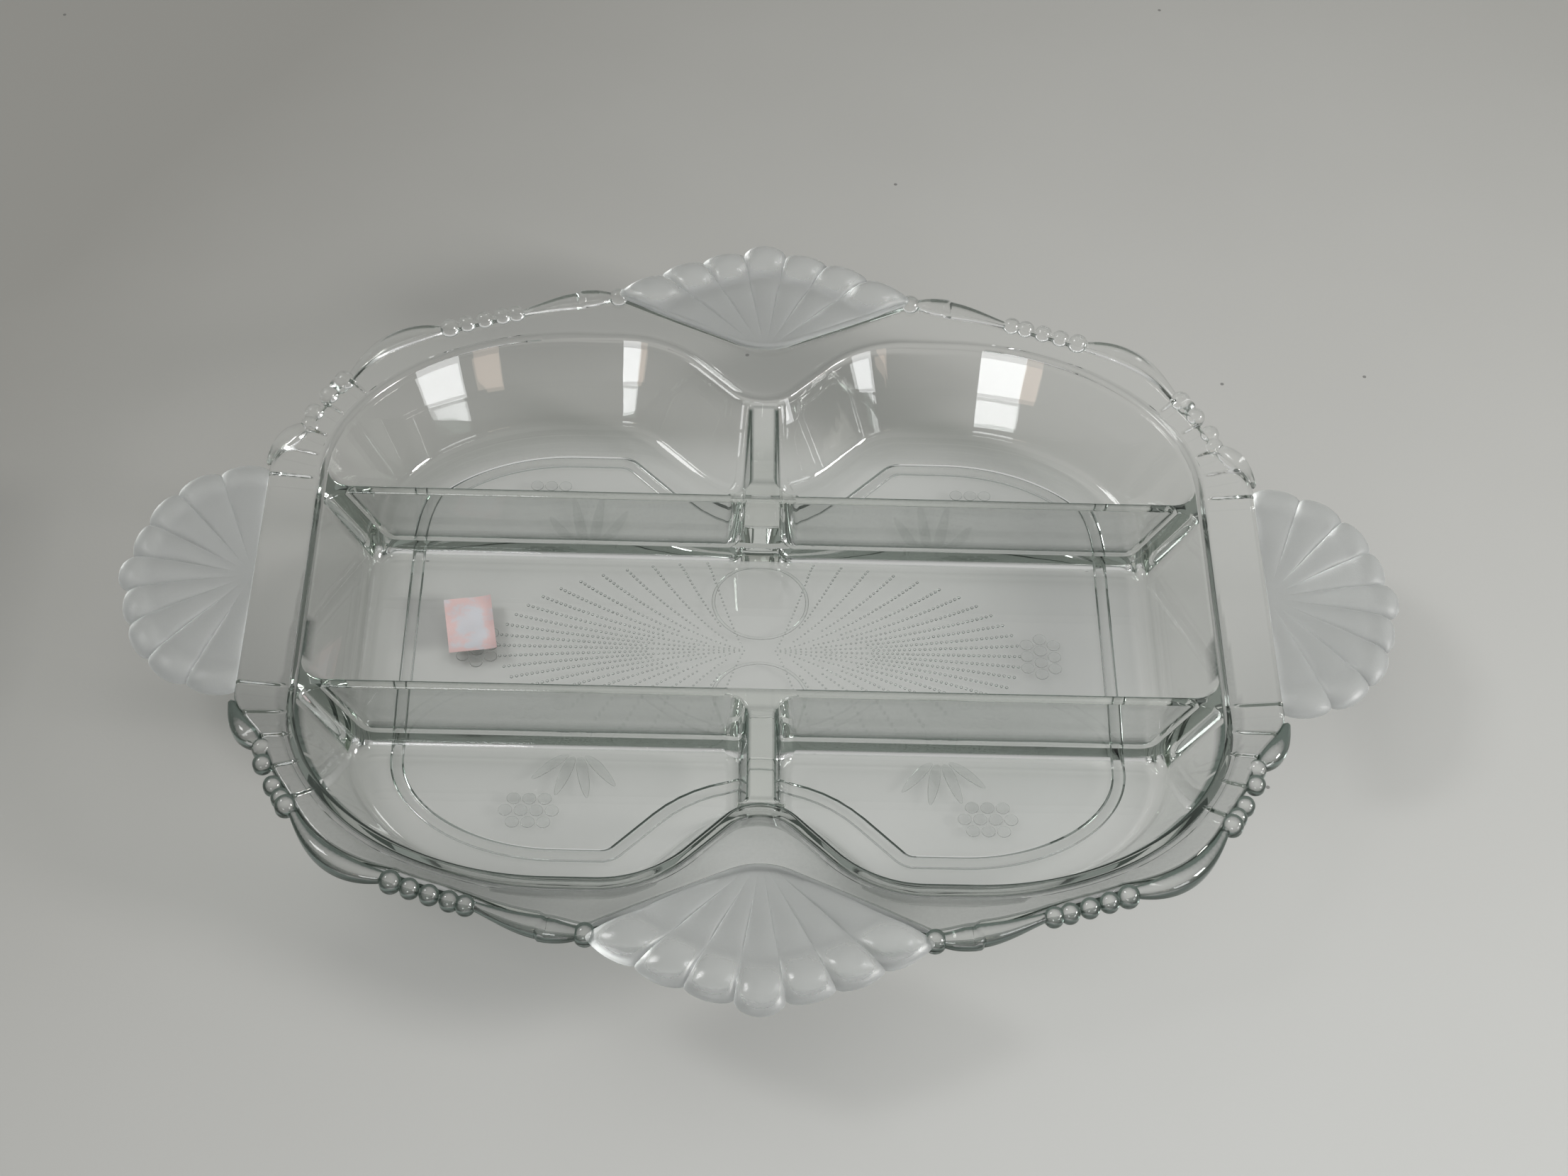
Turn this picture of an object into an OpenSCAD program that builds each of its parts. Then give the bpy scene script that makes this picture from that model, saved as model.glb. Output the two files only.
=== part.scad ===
// Divided relish tray in pressed glass: a lobed well with five compartments, a flange edged with
// scrolls and beads, and four satin scallop shells that serve as handles.
// Origin: on the table, under the middle of the tray. X runs along the tray, Y to the back, Z up.

/* [Well] */
// Half the length of the well at its rim
well_half_l = 118; // [110:1:126]
// Half the width of the well at its rim, over the lobes
well_half_w = 91.5; // [88:0.5:98]
// Distance of each lobe's crown from the middle line
crown_x = 52; // [50:1:56]
// Flat stretch at the crown of each lobe
lobe_flat = 12; // [8:1:16]
// Radius of the lobe's shoulder beside the notch
lobe_r = 30; // [28:1:33]
// Radius of the notch between two lobes
notch_r = 12; // [10:1:14]
// Angle that the rim turns into the notch
notch_turn = 46; // [42:1:48]
// Height of the well's rim above the table
rim_h = 28.6; // [26:0.2:32]
// Distance that the wall leans in between rim and floor
wall_run = 13.5; // [12:0.5:15]
// Thickness of the wall, measured level
wall_t = 4.4; // [3.4:0.2:5]
// Radius of the fillet between wall and floor
floor_fillet = 5; // [3:0.5:6]
// Radius that eases the rim's inner edge
rim_round = 1.6; // [0.8:0.1:2.4]
// Radius that eases the wall's lower outer edge
foot_round = 4; // [2:0.5:5]
// Thickness of the floor glass
floor_t = 3; // [2:0.2:4]

/* [Foot ring] */
// Height of the foot ring under the floor
ring_h = 1.5; // [1.2:0.1:2]
// Width of the foot ring
ring_w = 3.2; // [2:0.2:4]
// Distance of the foot ring's outer edge inside the rim
ring_inset = 22.5; // [20:0.5:24]

/* [Dividers] */
// Distance of each divider from the tray's middle line
divider_y = 33; // [30:1:36]
// Thickness of a divider at its top
divider_t = 3; // [2:0.2:4]
// Drop of the dividers' tops below the rim
divider_drop = 0.9; // [0.4:0.1:3]
// Thickness of a spine at its top
spine_t = 7.2; // [5:0.2:9]
// Mould taper on each side of a divider or spine, in degrees
draft = 4; // [2:0.5:6]
// Radius that eases the top edges of dividers and spines
top_round = 1; // [0.5:0.1:1.4]
// Radius of the fillet where a divider or spine meets the floor
foot_fillet = 3.6; // [2:0.2:5]
// Radius of the fillet where a divider meets a wall, or a spine a divider
end_fillet = 6; // [3:0.5:8]
// Radius of the fillet where a spine meets the notch
notch_fillet = 2.4; // [1:0.2:4]

/* [Flange] */
// Width of the flange beside the side shells
band_side = 15; // [13:0.5:17]
// Width of the flange behind the corner beads
band_corner = 8.5; // [7.5:0.5:10]
// Width of the flange at the crown of each lobe
band_lobe = 13; // [11:0.5:15]
// Extra width of the flange inside the long corner scroll
band_swell = 2; // [0:0.5:3]
// Height of the flange's outer edge above the table
edge_h = 30; // [28:0.2:34]
// Thickness of the flange
flange_t = 4; // [3:0.2:5]
// Height of the pleat ridges on the flange
pleat_h = 0.6; // [0.2:0.1:1]
// Width of the pleat ridges on the flange
pleat_w = 1.8; // [1:0.1:2.4]
// Distance of the first pleat from the corner's start
pleat_back = 2.6; // [2:0.2:5]

/* [Shells] */
// Reach of the side shells beyond the flange
side_reach = 33.2; // [28:0.2:38]
// Extra reach of the middle lobe of each shell
lobe_lead = 1.8; // [0:0.2:3]
// Half the width of the side shells' fan
side_half = 39; // [36:0.5:42]
// Stretch at each end of a side shell where the rim already turns
side_ease = 1; // [0:0.2:3]
// Distance of the front and rear shells' hinge inside the flange's edge
hinge_set = 2.5; // [1:0.5:5]
// Reach of the front and rear shells from their hinge
end_reach = 41.8; // [38:0.2:46]
// Extra half width that the front and rear fans would have if they opened level
end_wing = 17.2; // [14:0.2:20]
// Half the angle that the front and rear shells spread over
end_spread = 62; // [56:1:66]
// Radius of the flange's edge behind the front and rear shells
root_r = 18; // [14:1:22]
// Extra half width of that edge beyond the lobes' shoulders
root_lap = 1; // [0:0.2:3]
// Width of the flange at the bottom of the notch
band_notch = 20; // [18:0.5:22]
// Angle that the edge turns on each side of the middle
root_turn = 26; // [22:1:30]
// Thickness of a shell in its grooves
shell_t = 3; // [2.4:0.2:4]
// Height of the shells' rays above their grooves
ray_rise = 1.7; // [0.8:0.1:2.4]
// Depth of the scallops between the lobes
scallop = 2; // [1:0.2:3]
// Drop of the shells' middle plane below the flange's outer edge
shell_drop = 1.4; // [0.6:0.2:2.4]
// Rise of the bead at each lobe's tip on the front and rear shells
tip_rise = 0.9; // [0:0.1:1.6]

/* [Rim moulding] */
// Thickness of the scrolls
scroll_t = 4.8; // [3:0.2:6]
// Diameter of the loose beads between the scrolls
bead_d = 5; // [3:0.2:6]
// Diameter of the curls that end the scrolls
curl_d = 5.6; // [4:0.2:7]
// Rise of the moulding's centre above the flange's lower face
moulding_rise = 2.3; // [1:0.1:3]
// Gap between a side shell and the scroll beside it
scroll_gap = 0.7; // [0.2:0.1:2]

/* [Floor pattern] */
// Depth of the pressed pattern under the floor
pattern_h = 0.6; // [0.3:0.1:1]
// Clear distance between the foot ring and the berries at the ends of the sheaf
side_margin = 11; // [6:0.5:20]
// Angle from the sheaf's middle line to its edge, were its rays to open fully, in degrees
sheaf_slope = 24.6; // [20:0.2:28]
// Width of one ray of the sheaf
ray_w = 1.2; // [0.8:0.1:2]
// Radius of a berry
berry_r = 1.9; // [1:0.1:2.6]

/* [Price sticker] */
// Length of the sticker
sticker_l = 19; // [12:1:30]
// Width of the sticker
sticker_w = 12.7; // [8:0.1:20]
// Thickness of the sticker
sticker_t = 0.15; // [0.1:0.01:0.3]
// Distance of the sticker's middle inside the left rim
sticker_inset = 40; // [34:1:80]
// Distance of the sticker's middle from the tray's, across the tray
sticker_y = 5.2; // [-10:0.2:12]
// Turn of the sticker, in degrees
sticker_turn = 9; // [-30:1:30]

/* [Hidden] */
$fn = 24;

glass = [0.80, 0.88, 0.85, 0.6];
thick_glass = [0.62, 0.74, 0.70];
satin = [0.86, 0.87, 0.87];
paper = [0.93, 0.75, 0.74];
overrun = floor_t;

// Foot ring's inner edge and the levels of the floor
ring_inside = ring_inset + ring_w;
pane_z = ring_h;
floor_z = ring_h + floor_t;

// Slope of the wall and the points where its curves begin
lean = atan(wall_run / (rim_h - floor_z));
toe_in = wall_run + floor_fillet * (1 - sin(lean)) / cos(lean);
lip_out = rim_round * tan((90 - lean) / 2);
seam = wall_t / 2;
outer_foot = wall_run + floor_t * tan(lean) - wall_t;
foot_out = outer_foot + foot_round * tan((90 - lean) / 2);

// Distance inside the rim of the wall's inner face at a height, without its fillets
function wall_in(z) = (rim_h - z) * tan(lean);

function fillet_at(distance, r) =
    distance >= r ? 0 : r - sqrt(max(0, r * r - pow(r - max(distance, 0), 2)));

function smooth(t) = let (u = min(1, max(0, t))) u * u * (3 - 2 * u);

// Section of the wall as [distance inside the rim, height], down the inside and up the outside
function wall_inside() = concat(
    [for (k = [0:2]) let (a = 90 - (90 - lean) * k / 2)
        [rim_round * cos(a) - lip_out, rim_h - rim_round + rim_round * sin(a)]],
    [for (k = [0:3]) let (a = 180 + lean + (90 - lean) * k / 3)
        [toe_in + floor_fillet * cos(a), floor_z + floor_fillet + floor_fillet * sin(a)]]);
function wall_outside() = concat([[toe_in, pane_z]],
    [for (k = [0:2]) let (a = 270 - (90 - lean) * k / 2)
        [foot_out + foot_round * cos(a), pane_z + foot_round + foot_round * sin(a)]],
    [[-seam, rim_h - flange_t]]);

// Rim of one quarter, from the side to the notch, as [x, y, outward x, outward y, flange x, flange y]
side_flat = side_half - side_ease;
corner_l = well_half_l - crown_x;
corner_w = well_half_w - side_flat;
corner_len = (corner_l + corner_w) * PI / 4;
shoulder_x = crown_x - lobe_flat;
flank_l = (shoulder_x - (lobe_r + notch_r) * sin(notch_turn)) / cos(notch_turn);
notch_y = well_half_w - lobe_r * (1 - cos(notch_turn)) - flank_l * sin(notch_turn)
    + notch_r * cos(notch_turn);
root_y = notch_y - notch_r + band_notch;
root_half = shoulder_x + root_lap;
end_hinge_y = root_y - hinge_set;
end_half = root_half + end_wing;
shell_mid_h = edge_h - shell_drop;

// Places of the pleats and the scrolls, as shares of the corner's sweep
pleat_shares = [0.065, 0.145, 0.245, 0.35];
side_scroll_shares = [asin((side_ease + scroll_gap) / corner_w) / 90, 0.17];
corner_scroll_shares = [0.35, 0.67];
lobe_scroll_shares = [0.84, 1.12];
corner_bead_shares = [0.215, 0.285, 0.325];
cluster_bead_shares = [0.715, 0.76, 0.805];

// Width of the flange at a share of the corner
function band(t) = let (in_scroll = (t - corner_scroll_shares[0])
        / (corner_scroll_shares[1] - corner_scroll_shares[0]))
    band_side + (band_corner - band_side) * smooth(t / side_scroll_shares[1])
    + (band_lobe - band_corner) * smooth((t - lobe_scroll_shares[0] + (1 - lobe_scroll_shares[0]) / 2)
        / (1 - lobe_scroll_shares[0]) / 2)
    + band_swell * (in_scroll > 0 && in_scroll < 1 ? sin(180 * in_scroll) : 0);

function root_edge(x) = let (bend = root_r * sin(root_turn))
    x < bend ? root_y + root_r - sqrt(root_r * root_r - x * x)
    : root_y + root_r * (1 - cos(root_turn)) + (x - bend) * tan(root_turn);

function with_flange(x, y, nx, ny, w) = [x, y, nx, ny, x + nx * w, y + ny * w];
function in_notch(x, y, nx, ny) = let (fx = x * root_half / shoulder_x)
    [x, y, nx, ny, fx, root_edge(fx)];
function rim_corner(t) = let (a = 90 * t, gx = cos(a) / corner_l, gy = sin(a) / corner_w,
        g = sqrt(gx * gx + gy * gy))
    with_flange(crown_x + corner_l * cos(a), side_flat + corner_w * sin(a), gx / g, gy / g, band(t));
function rim_at(t) = t <= 1 ? rim_corner(t)
    : with_flange(crown_x - (t - 1) * corner_len, well_half_w, 0, 1, band(t));

pleat_share = pleat_w / corner_len / 2;
last_pleat = len(pleat_shares) - 1;
quarter = concat(
    [for (y = [0, side_flat - pleat_back - pleat_w / 2, side_flat - pleat_back,
            side_flat - pleat_back + pleat_w / 2])
        with_flange(well_half_l, y, 1, 0, band_side)],
    [rim_corner(0)],
    [for (s = pleat_shares, side = [-1:1]) rim_corner(s + side * pleat_share)],
    [for (k = [1:6]) let (s = pleat_shares[last_pleat]) rim_corner(s + (1 - s) * k / 6)],
    [in_notch(shoulder_x, well_half_w, 0, 1)],
    [for (k = [1:4]) let (a = notch_turn * k / 4)
        in_notch(shoulder_x - lobe_r * sin(a), well_half_w - lobe_r * (1 - cos(a)), -sin(a), cos(a))],
    [for (k = [0:3]) let (a = notch_turn * (3 - k) / 3)
        in_notch(notch_r * sin(a), notch_y - notch_r * cos(a), -sin(a), cos(a))]);
last = len(quarter) - 1;

// Stations that carry a pleat's ridge
function is_pleat(i) = i == 2 || (i > 4 && i <= 4 + 3 * (last_pleat + 1) && (i - 5) % 3 == 1);

// A quarter's points mirrored to all four, in order round the tray
function turned(p, sx, sy) = [for (k = [0:len(p) - 1]) p[k] * (k % 2 == 0 ? sx : sy)];
function all_round(q) = let (n = len(q) - 1) concat(
    [for (i = [0:n]) turned(q[i], 1, 1)],
    [for (i = [n - 1:-1:0]) turned(q[i], -1, 1)],
    [for (i = [1:n]) turned(q[i], -1, -1)],
    [for (i = [n - 1:-1:1]) turned(q[i], 1, -1)]);
rim = all_round(quarter);
pleats = concat(
    [for (i = [0:last]) is_pleat(i)],
    [for (i = [last - 1:-1:0]) is_pleat(i)],
    [for (i = [1:last]) is_pleat(i)],
    [for (i = [last - 1:-1:1]) is_pleat(i)]);
around = len(rim);

function inset(p, w) = [p[0] - p[2] * w, p[1] - p[3] * w];
function inset_outline(w) = [for (p = rim) inset(p, w)];
flange_outline = [for (p = rim) [p[4], p[5]]];

// Two triangles for the patch between neighbouring points of two neighbouring rings
function patch(a, b, c, d) = [[a, b, c], [a, c, d]];
function sweep_faces(rings, n, closed) = [for (r = [0:rings - (closed ? 1 : 2)], k = [0:n - 1],
        f = patch(r * n + k, r * n + (k + 1) % n, ((r + 1) % rings) * n + (k + 1) % n,
            ((r + 1) % rings) * n + k)) f];

// Ring solid: a closed section carried round the rim
module carried(section) {
    polyhedron([for (i = [0:around - 1], s = section) let (p = inset(rim[i], s[0])) [p[0], p[1], s[1]]],
        sweep_faces(around, len(section), true));
}

// Clear space behind the wall's inner face and over the floor, round a list of the rim's stations
module cavity(stations) {
    inner = wall_inside();
    n = len(inner);
    m = len(stations);
    points = [for (i = stations, s = inner) let (p = inset(rim[i], s[0])) [p[0], p[1], s[1]]];
    sides = [for (i = [0:m - 1], k = [0:n - 2], f = patch(i * n + k, i * n + k + 1,
            ((i + 1) % m) * n + k + 1, ((i + 1) % m) * n + k)) [f[0], f[2], f[1]]];
    middle = divider_y / 2;
    centres = [[0, middle, inner[0][1]], [0, middle, inner[n - 1][1]]];
    caps = [for (i = [0:m - 1]) let (j = (i + 1) % m)
        each [[m * n, j * n, i * n], [m * n + 1, i * n + n - 1, j * n + n - 1]]];
    polyhedron(concat(points, centres), concat(sides, caps));
}

// Stations at the two ends of a divider, and those of the notch with one more on each side
divider_reach = 4 + 3 * last_pleat;
divider_stations = [each [0:divider_reach], each [2 * last - divider_reach:2 * last]];
notch_stations = [0, each [last - 4:last + 4], 2 * last];

module flange_prism() {
    translate([0, 0, -overrun])
        linear_extrude(edge_h + ray_rise + tip_rise + 3 * overrun) polygon(flange_outline);
}

module quarters() {
    for (mx = [0, 1], my = [0, 1]) mirror([mx, 0, 0]) mirror([0, my, 0]) children();
}

module floor_pane() {
    color(glass) translate([0, 0, pane_z]) linear_extrude(floor_t) polygon(inset_outline(toe_in));
}

// The foot ring's corners keep their middle points and get smaller with the distance from the rim
ring_steps = 12;
function ring_outline(w) = all_round(concat([[well_half_l - w, 0]],
    [for (k = [0:ring_steps]) let (a = 90 * k / ring_steps)
        [crown_x + (corner_l - w) * cos(a), side_flat + (corner_w - w) * sin(a)]],
    [for (i = [last - 8:last]) inset(quarter[i], w)]));
module foot_ring() {
    color(thick_glass) linear_extrude(ring_h) difference() {
        polygon(ring_outline(ring_inset));
        polygon(ring_outline(ring_inside));
    }
}

module well_wall() {
    color(glass) carried(concat([[-seam, rim_h]], wall_inside(), wall_outside()));
}

// The flange rises a little outwards and carries the pleats' ridges on its top
module rim_flange() {
    color(glass) polyhedron(
        [for (i = [0:around - 1]) let (p = rim[i], a = inset(p, -seam), b = [p[4], p[5]],
                c = a + (b - a) * pleat_w / band_side, lift = pleats[i] ? pleat_h : 0,
                c_h = rim_h + (edge_h - rim_h) * pleat_w / band_side)
            each [[a[0], a[1], rim_h - flange_t], [b[0], b[1], edge_h - flange_t],
                [b[0], b[1], edge_h + lift], [c[0], c[1], c_h + lift], [a[0], a[1], rim_h]]],
        sweep_faces(around, 5, true));
}

// Half the thickness of an upright web at a height, with its taper, foot fillet and eased top
function web_half(t, z, top) = t / 2 + (top - z) * tan(draft)
    + fillet_at(z - floor_z, foot_fillet) - fillet_at(top - z, top_round);
divider_top = rim_h - divider_drop;
foot_shares = [-0.12, 0, 0.12, 0.4, 1];
top_shares = [1, 0.3, 0];
end_shares = [-0.6, 0, 0.15, 0.4, 1];
web_levels = concat([for (u = foot_shares) floor_z + foot_fillet * u],
    [for (u = top_shares) divider_top - top_round * u]);

// A fillet at the end of a web has no more than its share of the clear length at the floor
spine_room = notch_y - notch_r - wall_in(floor_z) - divider_y - divider_t / 2
    - (divider_top - floor_z) * tan(draft);
spine_fillet = min(end_fillet, spine_room * end_fillet / (end_fillet + notch_fillet));
spine_toe = min(notch_fillet, spine_room * notch_fillet / (end_fillet + notch_fillet));

// Solid through like slices, each of them a loop with an even number of points
module web(slices) {
    n = len(slices[0]);
    rings = len(slices);
    far = (rings - 1) * n;
    caps = [for (k = [0:n / 2 - 2]) each concat(patch(n - 1 - k, n - 2 - k, k + 1, k),
        patch(far + k, far + k + 1, far + n - 2 - k, far + n - 1 - k))];
    polyhedron([for (s = slices, p = s) p], concat(sweep_faces(rings, n, false), caps));
}

// One divider before its ends are cut to the wall
module divider_form() {
    web([for (side = [-1, 1], j = [0:4]) let (share = end_shares[side < 0 ? j : 4 - j])
        concat([for (z = web_levels) divider_point(z, side, share, -1)],
            [for (k = [len(web_levels) - 1:-1:0]) divider_point(web_levels[k], side, share, 1)])]);
}
function divider_point(z, side, share, hand) =
    let (half = web_half(divider_t, z, divider_top) + fillet_at(end_fillet * share, end_fillet))
    [side * (well_half_l - wall_in(z) - end_fillet * share), divider_y + hand * half, z];

// One spine before it is cut to the wall and the divider
module spine_form() {
    face = divider_y + divider_t / 2;
    web([for (side = [1, -1], j = [0:4])
        let (share = end_shares[side > 0 ? j : 4 - j])
        concat(
            [for (z = web_levels) spine_point(z, side, share, 1, face)],
            [for (k = [len(web_levels) - 1:-1:0]) spine_point(web_levels[k], side, share, -1, face)])]);
}
function spine_point(z, side, share, hand, face) =
    let (r = side > 0 ? spine_fillet : spine_toe,
        y = side > 0 && share < 0 ? divider_y
        : side > 0 ? face + (divider_top - z) * tan(draft) + r * share
        : notch_y - notch_r - wall_in(z) - (share < 0 ? end_fillet : r) * share)
    [hand * (web_half(spine_t, z, divider_top) + fillet_at(r * share, r)), y, z];

module divider() {
    color(thick_glass) intersection() {
        divider_form();
        cavity(divider_stations);
    }
}
module rear_divider() { divider(); }
module front_divider() { mirror([0, 1, 0]) divider(); }

module spine() {
    color(thick_glass) difference() {
        intersection() {
            spine_form();
            cavity(notch_stations);
        }
        divider_form();
    }
}
module rear_spine() { spine(); }
module front_spine() { mirror([0, 1, 0]) spine(); }

// Scallop shell: a fan of domed rays that spread from a hinge, [angle, distance] by [height]
function oval(a, reach, half, power) =
    pow(pow(abs(cos(a)) / reach, power) + pow(abs(sin(a)) / half, power), -1 / power);
lobe_steps = [-1, -0.8, -0.45, 0, 0.45, 0.8];
ray_steps = [0.25, 0.55, 0.8, 0.92, 0.98];

module fan(lobes, spread, reach, half, power, tip) {
    angles = concat([for (k = [0:lobes - 1], u = lobe_steps)
        [spread * ((2 * k + 1 + u) / lobes - 1), sqrt(1 - u * u), k == (lobes - 1) / 2 ? 1 : 0]],
        [[spread, 0, 0]]);
    n = len(angles);
    r = len(ray_steps);
    rows = [for (side = [1, -1], v = ray_steps) [for (q = angles)
        fan_point(q, v, side, reach, half, power, tip)]];
    edge = [for (q = angles) fan_point(q, 1, 0, reach, half, power, tip)];
    hinge = [[0, 0, shell_mid_h + shell_t / 2], [0, 0, shell_mid_h - shell_t / 2]];
    top = function(j, k) j < r ? j * n + k : 2 * r * n + k;
    low = function(j, k) j < r ? (r + j) * n + k : 2 * r * n + k;
    hi = (2 * r + 1) * n;
    faces = concat(
        [for (j = [0:r - 1], k = [0:n - 2], f = patch(top(j, k), top(j, k + 1), top(j + 1, k + 1),
            top(j + 1, k))) f],
        [for (j = [0:r - 1], k = [0:n - 2], f = patch(low(j, k), low(j + 1, k), low(j + 1, k + 1),
            low(j, k + 1))) f],
        [for (k = [0:n - 2]) [hi, top(0, k + 1), top(0, k)]],
        [for (k = [0:n - 2]) [hi + 1, low(0, k), low(0, k + 1)]],
        [[hi, top(0, 0), low(0, 0)], [hi, low(0, 0), hi + 1]],
        [[hi, low(0, n - 1), top(0, n - 1)], [hi, hi + 1, low(0, n - 1)]],
        [for (j = [0:r - 2]) each [[top(j, 0), top(j + 1, 0), low(j + 1, 0)],
            [top(j, 0), low(j + 1, 0), low(j, 0)]]],
        [for (j = [0:r - 2]) each [[top(j, n - 1), low(j + 1, n - 1), top(j + 1, n - 1)],
            [top(j, n - 1), low(j, n - 1), low(j + 1, n - 1)]]],
        [[top(r - 1, 0), top(r, 0), low(r - 1, 0)],
            [top(r - 1, n - 1), low(r - 1, n - 1), top(r, n - 1)]]);
    polyhedron(concat([for (row = rows, p = row) p], edge, hinge), faces);
}
function fan_point(q, v, side, reach, half, power, tip) =
    let (a = q[0], dome = q[1], out = v * (oval(a, reach, half, power) + q[2] * lobe_lead * dome
            - scallop * (1 - dome) * smooth(v)),
        brim = sqrt(max(0, 1 - pow(max(0, v - ray_steps[2]) / (1 - ray_steps[2]), 2))),
        bulge = tip * dome * sin(180 * smooth((v - 0.5) / 0.5)))
    [out * cos(a), out * sin(a), shell_mid_h
        + side * (shell_t / 2 * brim + (side > 0 ? ray_rise : ray_rise / 2) * dome * smooth(v * 2) * brim
            + bulge)];

module side_shell() {
    color(satin) translate([well_half_l + band_side, 0, 0]) fan(9, 90, side_reach, side_half, 2.3, 0);
}
module right_shell() { side_shell(); }
module left_shell() { mirror([1, 0, 0]) side_shell(); }

module end_shell() {
    color(satin) difference() {
        translate([0, end_hinge_y, 0]) rotate([0, 0, 90])
            fan(7, end_spread, end_reach, end_half, 1.6, tip_rise);
        flange_prism();
        quarters() shell_curl_balls();
    }
}
module rear_shell() { end_shell(); }
module front_shell() { mirror([0, 1, 0]) end_shell(); }

// How far the moulding's parts stand out from the flange's edge, as shares of their thickness
curl_out_share = 0.3;
bead_out_share = 0.3;
lobe_bead_out_share = 0.25;
side_bead_out_share = 0.1;
shell_curl_out_share = 0.2;
scroll_out_share = 0.375;

// Bead whose middle lies on the flange's edge, moved out by a share of its diameter
bead_h = edge_h - flange_t + moulding_rise;
module edge_ball(share, d, out_share) {
    p = rim_at(share);
    translate([p[4] + p[2] * d * out_share, p[5] + p[3] * d * out_share, bead_h]) sphere(d = d);
}

// Scroll along the flange's edge, with a thin tail and its greatest thickness past the middle
scroll_tail_share = 0.35;
scroll_skew = 1.4;
scroll_steps = 10;
scroll_sides = 8;
function scroll_radius(u) =
    scroll_t / 2 * (scroll_tail_share + (1 - scroll_tail_share) * sin(180 * pow(u, scroll_skew)));
module scroll(shares) {
    web([for (k = [0:scroll_steps]) let (u = k / scroll_steps, r = scroll_radius(u),
            p = rim_at(shares[0] + (shares[1] - shares[0]) * u))
        [for (m = [0:scroll_sides - 1])
            let (a = 360 * m / scroll_sides, out = r * (2 * scroll_out_share + cos(a)))
            [p[4] + p[2] * out, p[5] + p[3] * out, bead_h + r * sin(a)]]]);
}
module end_balls() {
    for (s = corner_scroll_shares) edge_ball(s, curl_d, curl_out_share);
    edge_ball(lobe_scroll_shares[0], bead_d, lobe_bead_out_share);
    edge_ball(side_scroll_shares[1], bead_d, side_bead_out_share);
}
module shell_curl_balls() {
    edge_ball(lobe_scroll_shares[1], curl_d, shell_curl_out_share);
}
module seated_scroll(shares) {
    color(thick_glass) quarters() difference() {
        scroll(shares);
        flange_prism();
        end_balls();
        shell_curl_balls();
    }
}
module side_scrolls() { seated_scroll(side_scroll_shares); }
module corner_scrolls() { seated_scroll(corner_scroll_shares); }
module lobe_scrolls() { seated_scroll(lobe_scroll_shares); }

module bead_group(shares) {
    color(thick_glass) quarters() difference() {
        for (s = shares) edge_ball(s, bead_d, bead_out_share);
        flange_prism();
        end_balls();
    }
}
module corner_beads() { bead_group(corner_bead_shares); }
module cluster_beads() { bead_group(cluster_bead_shares); }
module scroll_curls() {
    color(thick_glass) quarters() difference() {
        union() {
            end_balls();
            shell_curl_balls();
        }
        flange_prism();
    }
}

// Berries stand in rows of three, four and three
berry_rows = [3, 4, 3];
berry_pitch = 2.1 * berry_r;
row_pitch_share = 0.92;
bunch_half = berry_pitch * row_pitch_share + berry_r;
bunch_gap = 3 * berry_r;
side_bunch_x = well_half_l - ring_inside - side_margin - bunch_half;
sheaf_l = side_bunch_x - bunch_gap;
sheaf_half = sheaf_l * tan(sheaf_slope);

// Places and sizes of the discs, the leaves and the lobes' berries inside the foot ring
notch_room = notch_y - notch_r - ring_inside;
lobe_room = well_half_w - ring_inside;
disc_radius_share = 0.308;
disc_place_share = 0.397;
leaf_root_shares = [0.4, 0.5];
leaf_length_share = 0.26;
lobe_bunch_shares = [0.5, 0.82];
disc_r = notch_room * disc_radius_share;
disc_y = notch_room * disc_place_share;
leaf_l = lobe_room * leaf_length_share;

// Rays of the sheaf: narrow ridges that leave the crossing almost level and then part
ray_count = 8;
ray_steps_each = 6;
ray_sweep = 66;
ray_start_share = 0.05;
ray_bend_shares = [0.45, 0.15];
function ray_end(k) = let (a = ray_sweep * k / ray_count) [sheaf_l * cos(a), sheaf_half * sin(a)];
function ray_point(k, t) = let (e = ray_end(k))
    [pow(1 - t, 2) * sheaf_l * ray_start_share + 2 * t * (1 - t) * e[0] * ray_bend_shares[0]
        + t * t * e[0], 2 * t * (1 - t) * e[1] * ray_bend_shares[1] + t * t * e[1]];
module ray(k) {
    ends = [for (j = [0:ray_steps_each]) ray_point(k, j / ray_steps_each)];
    function half(j) = ray_w * (0.25 + 0.25 * j / ray_steps_each);
    polygon(concat([for (j = [0:ray_steps_each]) ends[j] - [0, half(j)]],
        [for (j = [ray_steps_each:-1:0]) ends[j] + [0, half(j)]]));
}
module sheaf_rays() {
    color(thick_glass) translate([0, 0, pane_z - pattern_h]) linear_extrude(pattern_h)
        for (hand = [0, 1], k = [-ray_count:ray_count]) mirror([hand, 0, 0]) ray(k);
}

// Plain round fields behind and before the crossing, each inside a narrow ring
module crossing_discs() {
    color(thick_glass) for (side = [-1, 1])
        translate([0, side * disc_y, pane_z - pattern_h]) difference() {
            cylinder(h = pattern_h, r = disc_r);
            translate([0, 0, -overrun]) cylinder(h = pattern_h + 2 * overrun, r = disc_r - ray_w);
        }
}

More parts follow.
